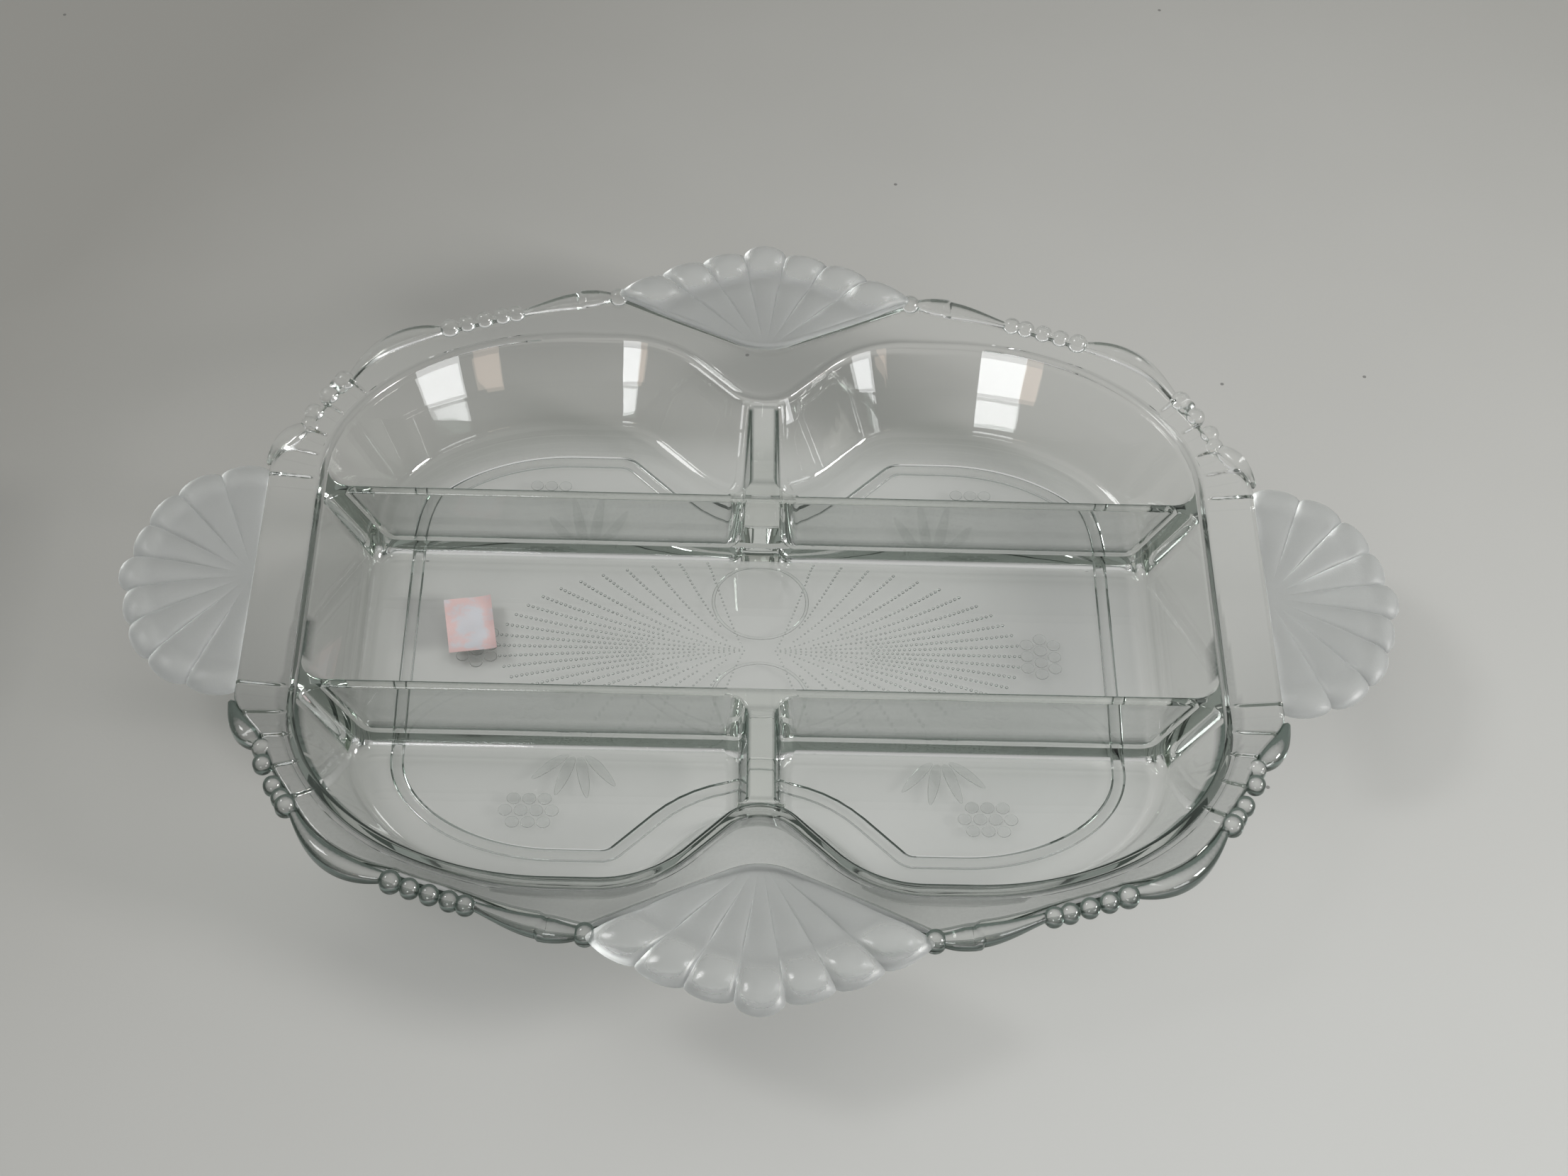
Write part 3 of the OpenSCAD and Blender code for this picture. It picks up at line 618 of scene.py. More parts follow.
def clear_glass(finish):
    """Clear pressed glass, with painted shade where the mesh carries it and a painted dark outline.
    """
    material, tree = blank_material("pressed_clear")
    normal, rough, haze = pressed_skin(tree, {
        "Wave Size": 16 * MM, "Wave Depth": 0.05 * MM, "Low Roughness": 0.0,
        "High Roughness": 0.015,
    })
    # The mesh's thick values hold painted shade, not a thickness of glass
    thick, worn, pressed = painted(tree, "thick", "worn", "pressed")
    facing = facing_away(tree, EVEN_BLEND)
    uneven = UNEVEN_FROM + UNEVEN_RANGE * haze
    dark = thick * uneven * (DARK_FACE_ON + facing**DARK_GROWTH * DARK_GRAZING)
    # Painted dark outline where the glass is seen along its surface, joined with the painted shade
    edge = (facing**EDGE_POWER * CLEAR_EDGE_SHARE).least(dark)
    glass = field(
        tree, "ShaderNodeBsdfPrincipled",
        {
            "Base Color": mixed(edge, mixed(haze, CLEAR_DIP, WHITE), finish.glass_edge_shade),
            "Roughness": worn * WORN_ROUGHNESS + rough, "Normal": normal, "IOR": GLASS_IOR,
            "Transmission Weight": 1.0,
        },
    )
    body = field(
        tree, "ShaderNodeVolumeAbsorption",
        {"Color": (*finish.glass_tint, 1), "Density": finish.tint_density},
    )
    deep = mixed(pressed, CLEAR_DEEP, PATTERN_DEEP)
    surface = with_soft_shadow(glass, WHITE, CLEAR_GRAZING, deep)
    node(tree, "ShaderNodeOutputMaterial", {"Surface": surface, "Volume": body})
    return material


def satin_glass(finish):
    """Frosted glass with polished pearls at the tips of the rays, and a painted highlight along its
    outline.
    """
    material, tree = blank_material("pressed_satin")
    normal, rough, haze = pressed_skin(tree, {
        "Wave Size": 6 * MM, "Wave Depth": 0.12 * MM, "Grain Size": 0.5 * MM,
        "Grain Share": 0.35,
        "Low Roughness": finish.satin_roughness - SATIN_ROUGHNESS_SPREAD,
        "High Roughness": finish.satin_roughness + SATIN_ROUGHNESS_SPREAD,
    })
    [pearl] = painted(tree, "pearl")
    facing = facing_away(tree, EVEN_BLEND)
    white = finish.satin_white
    bright = mixed(haze, [SATIN_DIP * c for c in white], white)
    # Painted highlight along the shell's outline; the pearls are made lighter too
    painted_rim_light = (facing**EDGE_POWER * SATIN_EDGE_SHARE + pearl * PEARL_EDGE_SHARE).most(1.0)
    frosted = field(
        tree, "ShaderNodeBsdfPrincipled",
        {
            "Base Color": mixed(painted_rim_light, bright, finish.satin_rim_highlight),
            "Roughness": rough * (1.0 - pearl) + pearl * finish.pearl_roughness,
            "Normal": normal, "IOR": GLASS_IOR, "Transmission Weight": SATIN_PASSING,
        },
    )
    surface = with_soft_shadow(frosted, *SATIN_TINTS)
    node(tree, "ShaderNodeOutputMaterial", {"Surface": surface})
    return material


def sticker_paper(finish):
    """Paper with an uneven pink border round a pale middle."""
    material, tree = blank_material("label_paper")
    place = object_place(tree)
    blots, fibre = noise(place, 260.0, 3.0), noise(place, 2600.0, 2.0)
    u, v, _ = split(tree, field(tree, "ShaderNodeUVMap", uv_map="sheet"))
    edge_u, edge_v = (abs(w - 0.5) * 2.0 for w in (u, v))
    reach = edge_u.least(edge_v * SIDE_BORDER_SHARE) + (blots - 0.5) * BLOT_PULL
    border = ((reach - BORDER_FROM) / BORDER_RUN).smooth()
    ink = mixed(border, finish.paper_white, finish.paper_pink)
    worn = (blots * 1.6 - 0.35).smooth() * WORN_SHARE
    paper = field(
        tree, "ShaderNodeBsdfPrincipled",
        {
            "Base Color": mixed(worn, ink, WORN_PAPER), "Roughness": 0.6 + fibre * 0.25,
            "Normal": bumped(fibre, 0.5, 0.05 * MM), "IOR": PAPER_IOR,
        },
    )
    node(tree, "ShaderNodeOutputMaterial", {"Surface": paper})
    return material


def table_top(finish):
    """Matte table with painted light: darker towards the back left and lighter under the tray, with
    a few dark specks of dust.
    """
    material, tree = blank_material("table_top")
    place = object_place(tree)
    x, y, _ = split(tree, place)
    mottle = noise(place, 18.0, 4.0)
    column = x / SIDE_SPAN
    # Painted light: the table's colour falls off towards the back left and the sides
    slope = TABLE_LIGHT + x * TO_RIGHT - y * TO_BACK - TO_SIDES * column * column
    slope += (mottle - 0.5) * MOTTLE_SHARE
    ramp = node(tree, "ShaderNodeValToRGB", {0: slope})
    stops = ramp.color_ramp.elements
    for stop, spot, shade in zip(
        (stops[0], stops.new(0.5), stops[-1]), TABLE_STOPS,
        (finish.floor_dark, finish.floor_mid, finish.floor_light),
    ):
        stop.position = spot
        stop.color = (*shade, 1)
    slots = {"Vector": place, "Scale": 22.0}
    cells = node(tree, "ShaderNodeTexVoronoi", slots, voronoi_dimensions="2D")
    near, tone = outputs(cells, "Distance", "Color")
    chance = field(tree, "ShaderNodeSeparateColor", {0: tone})
    specks = chance.over(DUST_CHANCE) * near.under(DUST_SIZE)
    # Painted light under the tray, lighter towards the right
    beyond = ((x / GATHER_X) ** 4.0 + (y / GATHER_Y) ** 4.0).least(0.0)
    patchy = PATCH_FROM + mottle * PATCH_MOTTLE + x * PATCH_TO_RIGHT
    gathered = (GATHER_REACH - beyond).smooth() * patchy * finish.painted_gathered_light
    lit = mixed(gathered, *outputs(ramp, "Color"), WHITE)
    top = field(
        tree, "ShaderNodeBsdfPrincipled",
        {
            "Base Color": mixed(specks * DUST_SHARE, lit, DUST), "Roughness": 0.85,
            "Specular IOR Level": 0.2, "Normal": bumped(noise(place, 900.0, 2.0), 0.2, 0.1 * MM),
        },
    )
    node(tree, "ShaderNodeOutputMaterial", {"Surface": top})
    return material


def shared_material(name, maker):
    """A material is made by the first piece that needs it."""
    return bpy.data.materials.get(name) or maker(bpy.context.scene.relish_finish)


def clear():
    return shared_material("pressed_clear", clear_glass)


# Outline of the tray


def smooth(t):
    u = np.clip(t, 0.0, 1.0)
    return u * u * (3 - 2 * u)


def fillet_at(distance, radius):
    """How far a fillet stands out at a distance from the face that it runs into."""
    d = np.clip(distance, 0, radius)
    return radius - np.sqrt(np.maximum(0, radius**2 - (radius - d) ** 2))


NOTCH_TURN = math.radians(46)
ROOT_TURN = math.radians(26)
DRAFT = math.radians(4)
SCROLL_GAP = 0.7 * MM

# Places round the corner's sweep, as shares of it
PLEAT_SHARES = (0.065, 0.145, 0.245, 0.35)
CORNER_SCROLL_SHARES = (0.35, 0.67)
LOBE_SCROLL_SHARES = (0.84, 1.12)
CORNER_BEAD_SHARES = (0.215, 0.285, 0.325)
CLUSTER_BEAD_SHARES = (0.715, 0.76, 0.805)
SIDE_SCROLL_END_SHARE = 0.17
PLEAT_HALF_SHARE = 0.4
SIDE_STATIONS, PLEAT_STATIONS, PLEAT_CLEARANCE = 12, 4, 1.2

QUARTERS = ((1, 1), (-1, 1), (-1, -1), (1, -1))


class Rim:
    """The well's rim and the flange's outer edge, worked out from the tray's sizes."""

    def __init__(self, s):
        self.s = s
        self.side_flat = s.side_half - s.side_ease
        self.corner_l = s.well_half_l - s.crown_x
        self.corner_w = s.well_half_w - self.side_flat
        self.corner_len = (self.corner_l + self.corner_w) * math.pi / 4
        self.shoulder_x = s.crown_x - s.lobe_flat
        turn = NOTCH_TURN
        self.flank = (self.shoulder_x - (s.lobe_r + s.notch_r) * math.sin(turn)) / math.cos(turn)
        self.notch_y = (
            s.well_half_w - s.lobe_r * (1 - math.cos(turn)) - self.flank * math.sin(turn)
            + s.notch_r * math.cos(turn)
        )
        self.root_y = self.notch_y - s.notch_r + s.band_notch
        self.root_half = self.shoulder_x + s.root_lap
        self.ring_inside = s.ring_inset + s.ring_w
        self.lean = math.atan(s.wall_run / (s.rim_h - s.floor_z))
        self.seam = s.wall_t / 2
        start = math.asin((s.side_ease + SCROLL_GAP) / self.corner_w) / (math.pi / 2)
        side_shares = (start, SIDE_SCROLL_END_SHARE)
        self.scrolls = (side_shares, CORNER_SCROLL_SHARES, LOBE_SCROLL_SHARES)
        self.moulding_z = s.edge_h - s.flange_t + s.moulding_rise

    def wall_in(self, z):
        """Distance of the wall's inner face inside the rim at a height."""
        return (self.s.rim_h - z) * math.tan(self.lean)

    def band(self, t):
        """Width of the flange at a share of the corner."""
        s = self.s
        first, last = CORNER_SCROLL_SHARES
        lobe = LOBE_SCROLL_SHARES[0]
        inside = np.clip((t - first) / (last - first), 0, 1)
        return (
            s.band_side + (s.band_corner - s.band_side) * smooth(t / SIDE_SCROLL_END_SHARE)
            + (s.band_lobe - s.band_corner) * smooth((t - lobe + (1 - lobe) / 2) / (1 - lobe) / 2)
            + s.band_swell * math.sin(math.pi * inside)
        )

    def root_edge(self, x):
        """Flange's edge behind an end shell: an arc and then a straight slope."""
        r = self.s.root_r
        bend = r * math.sin(ROOT_TURN)
        if x < bend:
            return self.root_y + r - math.sqrt(r * r - x * x)
        return self.root_y + r * (1 - math.cos(ROOT_TURN)) + (x - bend) * math.tan(ROOT_TURN)

    def at(self, u):
        """Rim at a distance along one quarter, from the side to the notch.

        Gives its place, the outward direction and the flange's edge there.
        """
        s = self.s
        if u <= self.side_flat:
            return (s.well_half_l, u), (1.0, 0.0), (s.well_half_l + s.band_side, u)
        u -= self.side_flat
        if u <= self.corner_len:
            t = u / self.corner_len
            c, d = math.cos(t * math.pi / 2), math.sin(t * math.pi / 2)
            place = (s.crown_x + self.corner_l * c, self.side_flat + self.corner_w * d)
            gx, gy = c / self.corner_l, d / self.corner_w
            g = math.hypot(gx, gy)
            out = (gx / g, gy / g)
            w = self.band(t)
            return place, out, (place[0] + out[0] * w, place[1] + out[1] * w)
        u -= self.corner_len
        if u <= s.lobe_flat:
            part = u / s.lobe_flat
            fx = s.crown_x + (self.root_half - s.crown_x) * part
            edge = s.well_half_w + s.band_lobe
            edge += (self.root_edge(self.root_half) - edge) * smooth(part)
            return (s.crown_x - u, s.well_half_w), (0.0, 1.0), (fx, edge)
        u -= s.lobe_flat
        shoulder = s.lobe_r * NOTCH_TURN
        if u <= shoulder + self.flank:
            a = min(u / s.lobe_r, NOTCH_TURN)
            v = max(0.0, u - shoulder)
            place = (
                self.shoulder_x - s.lobe_r * math.sin(a) - v * math.cos(a),
                s.well_half_w - s.lobe_r * (1 - math.cos(a)) - v * math.sin(a),
            )
        else:
            a = max(0.0, NOTCH_TURN - (u - shoulder - self.flank) / s.notch_r)
            place = (s.notch_r * math.sin(a), self.notch_y - s.notch_r * math.cos(a))
        fx = place[0] * self.root_half / self.shoulder_x
        return place, (-math.sin(a), math.cos(a)), (fx, self.root_edge(fx))

    def share(self, t):
        """Rim at a share of the corner's sweep, past 1 along the lobe's flat."""
        return self.at(self.side_flat + t * self.corner_len)

    def quarter_length(self):
        s = self.s
        turned = (s.lobe_r + s.notch_r) * NOTCH_TURN
        return self.side_flat + self.corner_len + s.lobe_flat + turned + self.flank

    def pleats(self):
        """Distances of the pleats along one quarter."""
        first = self.side_flat - self.s.pleat_back
        return [first] + [self.side_flat + t * self.corner_len for t in PLEAT_SHARES]

    def stations(self, pitch):
        """Rim all round, as rows of place, outward direction, flange's edge and pleat lift."""
        total, pleats = self.quarter_length(), self.pleats()
        half = PLEAT_HALF_SHARE * self.s.pleat_w
        marks = list(np.linspace(0, self.side_flat, SIDE_STATIONS))
        marks += list(np.linspace(self.side_flat, total, int((total - self.side_flat) / pitch)))
        clearance, n = half * PLEAT_CLEARANCE, PLEAT_STATIONS
        marks = [m for m in marks if all(abs(m - p) > clearance for p in pleats)]
        marks += [p + half * k / n for p in pleats for k in range(-n, n + 1)]
        rows = []
        for u in sorted(marks):
            place, out, edge = self.at(u)
            lift = sum(
                0.5 + 0.5 * math.cos(math.pi * (u - p) / half)
                for p in pleats if abs(u - p) < half
            )
            rows.append([*place, *out, *edge, lift])
        quarter = np.array(rows)
        quarter[0, [1, 5]] = 0.0
        quarter[-1, [0, 2, 4]] = 0.0
        flip_x = np.array([-1, 1, -1, 1, -1, 1, 1])
        flip_y = np.array([1, -1, 1, -1, 1, -1, 1])
        return np.vstack([
            quarter, quarter[-2::-1] * flip_x, quarter[1:] * flip_x * flip_y,
            quarter[-2:0:-1] * flip_y,
        ])


# Clear body of the tray

RIM_PITCH = 1.35 * MM
FLOOR_LAP = 1.8 * MM
ARMPIT = 1.3 * MM
RING_EASE = 0.8 * MM
RING_LAPS = (1.0 * MM, 0.2 * MM)
WALL_STEPS = (0.2, 0.4, 0.6, 0.8)
FLANGE_STEPS = (0.0, 0.04, 0.08, 0.14, 0.25, 0.4, 0.6, 0.8, 0.92, 1.0)
FLANGE_BACK_STEPS = (0.8, 0.5, 0.25)
PLEAT_EASE_SHARE = 0.14
BACK_STEPS = (0.3, 0.65)

END_STEPS = (-0.6, -0.3, 0.0, 0.02, 0.06, 0.12, 0.2, 0.32, 0.48, 0.7, 1.0)
FOOT_STEPS = (-0.12, 0.0, 0.02, 0.06, 0.12, 0.2, 0.32, 0.48, 0.7, 1.0, 1.4, 1.5)
TOP_STEPS = (1.0, 0.7, 0.45, 0.25, 0.12, 0.04, 0.0)


def bowl_mesh(s, rim):
    """Floor, wall and flange as one skin: a section carried round the rim."""
    station = rim.stations(RIM_PITCH)
    place, out, edge, lift = station[:, 0:2], station[:, 2:4], station[:, 4:6], station[:, 6]
    lean, seam = rim.lean, rim.seam
    near = place + out * seam
    reach = np.linalg.norm(edge - near, axis=1)
    along = (edge - near) / reach[:, None]
    rings = []

    def wall(inside, z):
        rings.append(np.column_stack([place - out * inside, np.full(len(place), z)]))

    def flange(part, past, z, pleated):
        spot = near + along * (part * (reach - s.edge_round) + past)[:, None]
        rings.append(np.column_stack([spot, z + pleated * lift]))

    def arc(first, last, steps, radius):
        """Steps out and up along an arc, from its centre."""
        for a in np.radians(np.linspace(first, last, steps + 1)):
            yield radius * math.cos(a), radius * math.sin(a)

    slope = math.degrees(lean)
    turn_out = math.tan((math.pi / 2 - lean) / 2)
    toe_in = s.wall_run + s.floor_fillet * (1 - math.sin(lean)) / math.cos(lean)
    lip_out = s.rim_round * turn_out
    outer_foot = s.wall_run + (s.floor_z - s.pane_z) * math.tan(lean) - s.wall_t
    foot_out = outer_foot + s.foot_round * turn_out

    wall(toe_in + FLOOR_LAP, s.floor_z)
    for w, z in arc(270, 180 + slope, 10, s.floor_fillet):
        wall(toe_in + w, s.floor_z + s.floor_fillet + z)
    foot = rings[-1][0][2]
    lip_start = s.rim_h - s.rim_round * (1 - math.sin(lean))
    for part in WALL_STEPS:
        z = foot + (lip_start - foot) * part
        wall(rim.wall_in(z), z)
    for w, z in arc(slope, 90, 7, s.rim_round):
        wall(w - lip_out, s.rim_h - s.rim_round + z)

    climb = s.edge_h - s.rim_h
    for part in FLANGE_STEPS:
        flange(part, 0.0, s.rim_h + climb * part, s.pleat_h * smooth(part / PLEAT_EASE_SHARE))
    for w, z in list(arc(90, 0, 5, s.edge_round))[1:]:
        flange(1.0, w, s.edge_h - s.edge_round + z, s.pleat_h * z / s.edge_round)
    low = s.edge_h - s.flange_t
    for w, z in arc(0, -90, 5, s.edge_round):
        flange(1.0, w, low + s.edge_round + z, 0.0)
    arm_z = s.rim_h - s.flange_t
    for part in FLANGE_BACK_STEPS:
        flange(part, 0.0, arm_z + climb * part, 0.0)

    foot_z = s.pane_z + s.foot_round * (1 - math.sin(lean))
    foot_w = foot_out - s.foot_round * math.cos(lean)
    down = np.array([foot_w + seam, foot_z - arm_z])
    armpit = np.array([-seam, arm_z])
    start, end = armpit - (ARMPIT, 0.0), armpit + down / np.linalg.norm(down) * ARMPIT
    for t in np.linspace(0, 1, 6):
        wall(*((1 - t) ** 2 * start + 2 * t * (1 - t) * armpit + t * t * end))
    for part in BACK_STEPS:
        wall(*(end + (np.array([foot_w, foot_z]) - end) * part))
    for w, z in arc(180 + slope, 270, 7, s.foot_round):
        wall(foot_out + w, s.pane_z + s.foot_round + z)

    for lap in RING_LAPS:
        wall(s.ring_inset - lap, s.pane_z)
    for w, z in arc(180, 270, 4, RING_EASE):
        wall(s.ring_inset + RING_EASE + w, RING_EASE + z)
    for w, z in arc(270, 360, 4, RING_EASE):
        wall(rim.ring_inside - RING_EASE + w, RING_EASE + z)
    for lap in (RING_LAPS[-1], FLOOR_LAP):
        wall(rim.ring_inside + lap, s.pane_z)
    return rings_mesh("bowl", rings)


def web_half(s, thickness, z):
    """Half the thickness of an upright web at a height, with its fillet and eased top."""
    return (
        thickness / 2 + (s.divider_top - z) * math.tan(DRAFT)
        + fillet_at(z - s.floor_z, s.foot_fillet) - fillet_at(s.divider_top - z, s.top_round)
    )


def web_mesh(s, name, first, point_at):
    """Upright web in slices along it, before it is united with the bowl.

    point_at gives a point of a slice from the slice's end and step and its own hand and height.
    """
    levels = [s.floor_z + s.foot_fillet * f for f in FOOT_STEPS]
    levels += [s.divider_top - s.top_round * f for f in TOP_STEPS]
    round_it = [(first, z) for z in levels] + [(-first, z) for z in levels[::-1]]
    along_it = [(first, t) for t in END_STEPS] + [(-first, t) for t in END_STEPS[::-1]]
    return rings_mesh(
        name, [np.array([point_at(*step, *spot) for spot in round_it]) for step in along_it]
    )


def divider_mesh(s, rim, side):
    """Divider that runs from wall to wall."""

    def point_at(end, step, hand, z):
        x = end * (s.well_half_l - rim.wall_in(z) - s.end_fillet * step)
        flare = fillet_at(s.end_fillet * step, s.end_fillet)
        y = s.divider_y + hand * (web_half(s, s.divider_t, z) + flare)
        return x, side * y, z

    return web_mesh(s, "divider", -1, point_at)


def spine_mesh(s, rim, side):
    """Spine between a divider and the notch."""
    face = s.divider_y + s.divider_t / 2

    def point_at(end, step, hand, z):
        radius = s.end_fillet if end > 0 else s.notch_fillet
        if end > 0 and step < 0:
            y = s.divider_y + step * MM
        elif end > 0:
            y = face + (s.divider_top - z) * math.tan(DRAFT) + radius * step
        else:
            sunk = s.end_fillet if step < 0 else radius
            y = rim.notch_y - s.notch_r - rim.wall_in(z) - sunk * step
        flare = fillet_at(radius * step, radius)
        return hand * (web_half(s, s.spine_t, z) + flare), side * y, z

    return web_mesh(s, "spine", 1, point_at)


# Scallop shells

SECTION_POWER, BRIM_FROM, NUDGE = 1.7, 0.8, 0.0001
RAY_FADE_FROM, RAY_FADE_RUN, BACK_RISE_SHARE = 0.1, 0.55, 0.5
PEARL_FROM, PEARL_RUN = 0.3, 0.35
CREST_STEPS, CREST_SIDES, CREST_SPAN, CREST_TAIL, CREST_SINK = 81, 12, 0.985, 0.25, 0.55
BODY_CREASE, SATIN_CREASE, DISC_CREASE, PAPER_CREASE = 32, 38, 40, 50
SHELL_LAP = 0.3 * MM
PRISM_PITCH, PRISM_HEIGHTS = 3 * MM, (-10 * MM, 60 * MM)


def shell_tree():
    """Fan of domed rays that spread from a hinge, grown on a grid of steps round and out."""
    tree, v = geometry_tree(
        "scallop_shell",
        {
            "Lobes": 9, "Steps": 12, "Rows": 22, "Spread": math.pi / 2, "Reach": 33 * MM,
            "Half Width": 39 * MM, "Power": 2.3, "Lead": 1.8 * MM, "Scallop": 2 * MM,
            "Thickness": 3 * MM, "Ray Rise": 1.7 * MM, "Tip Rise": 0.0, "Tip Share": 0.135,
            "Neck": 0.3, "Pearl Share": 1.0,
        },
    )
    columns = v["Lobes"] * v["Steps"] + 3.0
    rows = v["Rows"] * 2.0 + 1.0
    slots = {"Size X": 1.0, "Size Y": 1.0, "Vertices X": columns, "Vertices Y": rows}
    grid = field(tree, "GeometryNodeMeshGrid", slots)
    across, up, _ = position(tree)
    column = (across + 0.5) * (columns - 1.0)
    section = up + 0.5

    inside = (column - 1.0).least(0.0).most(columns - 3.0)
    rim_end = abs(column - inside - 1.0).over(0.5)
    ray = inside / v["Steps"] + NUDGE
    ray_no = ray.floor().most(v["Lobes"] - 1.0)
    turn = (ray - ray_no - NUDGE).least(0.0) * math.pi
    dome = turn.sine().least(0.0)
    bearing = v["Spread"] * ((2.0 * ray_no + 1.0 - turn.cosine()) / v["Lobes"] - 1.0)
    middle = abs(2.0 * ray_no + 1.0 - v["Lobes"]).under(0.5)

    top = (0.5 - section).sign()
    out = (1.0 - (abs(section - 0.5) * 2.0) ** SECTION_POWER).most(1.0)
    power = v["Power"]
    oval = (
        (abs(bearing.cosine()) / v["Reach"]) ** power
        + (abs(bearing.sine()) / v["Half Width"]) ** power
    ) ** (-1.0 / power)
    fan = out * (oval + middle * dome * v["Lead"] - v["Scallop"] * (1.0 - dome) * out.smooth())
    brim_at = ((out - BRIM_FROM) * (1 / (1 - BRIM_FROM))).least(0.0)
    brim = (1.0 - brim_at * brim_at).least(0.0).root()
    tip_at = (out - 1.0 + v["Tip Share"]) / v["Tip Share"]
    tip = (1.0 - tip_at * tip_at).least(0.0).root()
    neck_at = abs(out - 1.0 + v["Tip Share"] * 2.0) / v["Tip Share"]
    neck = v["Neck"] * (1.0 - neck_at).smooth()
    fade = ((out - RAY_FADE_FROM) / RAY_FADE_RUN).smooth()
    rise = v["Ray Rise"] * ((1 + BACK_RISE_SHARE) / 2 + (1 - BACK_RISE_SHARE) / 2 * top)
    half = brim * (
        v["Thickness"] * 0.5 + rise * dome * fade * (1.0 - neck) + v["Tip Rise"] * dome * tip
    )
    pearl = ((dome * tip - PEARL_FROM) / PEARL_RUN).smooth() * v["Pearl Share"]
    kept = stored(grid, "pearl", pearl)
    lift = top * half * (1.0 - rim_end)
    shaped = moved(kept, fan * bearing.cosine(), fan * bearing.sine(), lift)
    return end_tree(merged(shaped, WELD), v)


def shell_object(name, tree, glass, sizes, hinge, turn):
    """Shell grown flat about its hinge and then set in its place on the flange."""
    shell = grown(name, tree, glass, bpy.data.meshes.new("seed"), sizes)
    shell.data.transform(Matrix.Translation(hinge) @ Matrix.Rotation(turn, 4, "Z"))
    tidy_mesh(shell.data, WELD)
    return shell


def crest_mesh(s, rim, hand):
    """Low rounded crest that closes the seam between an end shell and the flange."""
    rings = []
    for part in np.linspace(-1, 1, CREST_STEPS):
        x = CREST_SPAN * rim.root_half * part
        y = rim.root_edge(abs(x)) + 0.1 * MM
        radius = s.crest_w / 2 * (CREST_TAIL + (1 - CREST_TAIL) * math.sqrt(1 - part**4))
        middle = s.edge_h - CREST_SINK * radius
        rings.append(np.array([
            (x, hand * (y + radius * math.cos(a)), middle + radius * math.sin(a))
            for a in np.linspace(0, 2 * math.pi, CREST_SIDES + 1)[:-1]
        ]))
    return rings_mesh("crest", rings)


def flange_prism(rim, inside):
    """Upright block under the flange's outline, a little smaller all round."""
    station = rim.stations(PRISM_PITCH)
    outline = station[:, 4:6] - station[:, 2:4] * inside
    rings = [np.column_stack([outline, np.full(len(outline), z)]) for z in PRISM_HEIGHTS]
    return rings_mesh("prism", rings)


# Scrolls and beads

TAIL_SHARE, SWELL_SKEW, SCROLL_OUT_SHARE = 0.35, 1.4, 0.375
BEAD_OUT_SHARE = 0.3
SCROLL_STEPS = 44


def square_below(shape, radius, height):
    """Fills out the lower half of a round shape, as far as a nearly flat underside."""
    x, y, z = position(shape.tree)
    drop = (height - z).least(0.0) / radius
    level = (1.0 - drop * drop).least(0.0)
    filled = (1.0 - level * level).least(0.0) ** 0.25
    low = drop.over(0.0001)
    return moved(shape, x, y, z * (1.0 - low) + low * (height - radius * filled))


def scroll_tree():
    """Tapered rods along guide lines, thickest past their middle, pushed out from the edge."""
    tree, v = geometry_tree(
        "rim_scroll",
        {
            "Thickness": 4.8 * MM, "Height": 28.3 * MM, "Tail Share": TAIL_SHARE,
            "Skew": SWELL_SKEW, "Out Share": SCROLL_OUT_SHARE, "Sides": 20,
        },
    )
    along = named(tree, "along")
    swell = ((along ** v["Skew"]) * math.pi).sine().least(0.0)
    tips = (along.most(1.0 - along) * 25.0).most(1.0).root()
    radius = v["Thickness"] * 0.5 * (v["Tail Share"] + (1.0 - v["Tail Share"]) * swell) * tips
    lines = field(tree, "GeometryNodeMeshToCurve", {"Mesh": v["Guide"]})
    slots = {0: named(tree, "outward", "FLOAT_VECTOR"), "Scale": radius * v["Out Share"] * 2.0}
    push = field(tree, "ShaderNodeVectorMath", slots, operation="SCALE")
    pushed = field(tree, "GeometryNodeSetPosition", {"Geometry": lines, "Offset": push})
    slots = {"Resolution": v["Sides"], "Radius": 1.0}
    rods = field(
        tree, "GeometryNodeCurveToMesh",
        {
            "Curve": stored(pushed, "reach", radius), "Scale": radius, "Fill Caps": True,
            "Profile Curve": field(tree, "GeometryNodeCurvePrimitiveCircle", slots),
        },
    )
    return end_tree(square_below(rods, named(tree, "reach").least(0.01 * MM), v["Height"]), v)


def bead_tree():
    """Round beads on guide points, each with its own diameter."""
    tree, v = geometry_tree("rim_bead", {"Fineness": 4, "Radius": 0.5, "Height": 0.0})
    slots = {"Radius": v["Radius"], "Subdivisions": v["Fineness"]}
    ball = field(tree, "GeometryNodeMeshIcoSphere", slots)
    button = square_below(ball, v["Radius"], v["Height"])
    return end_tree(set_on(v["Guide"], button, Scale=named(tree, "size")), v)


def in_quarters(points):
    """The same points in all four quarters of the tray."""
    return [np.array(points) * (sx, sy, 1) for sx, sy in QUARTERS]


def scroll_guides(rim, shares):
    """Lines along the flange's edge with how far along each point is and which way is out."""
    rows = [rim.share(t) for t in np.linspace(*shares, SCROLL_STEPS)]
    line = in_quarters([(*edge, rim.moulding_z) for _, _, edge in rows])
    out = in_quarters([(*way, 0.0) for _, way, _ in rows])
    along = np.tile(np.linspace(0, 1, SCROLL_STEPS), len(QUARTERS))
    return lines_mesh("scroll_lines", line, along=along, outward=np.vstack(out))


def ball_guides(rim, t, size, out_share):
    """Points for one ball in each quarter, at a share of the corner and out from the edge."""
    _, way, edge = rim.share(t)
    place = (*(edge[k] + way[k] * size * out_share for k in (0, 1)), rim.moulding_z)
    return guide_mesh("ball_points", np.vstack(in_quarters([place])), size=[size] * len(QUARTERS))


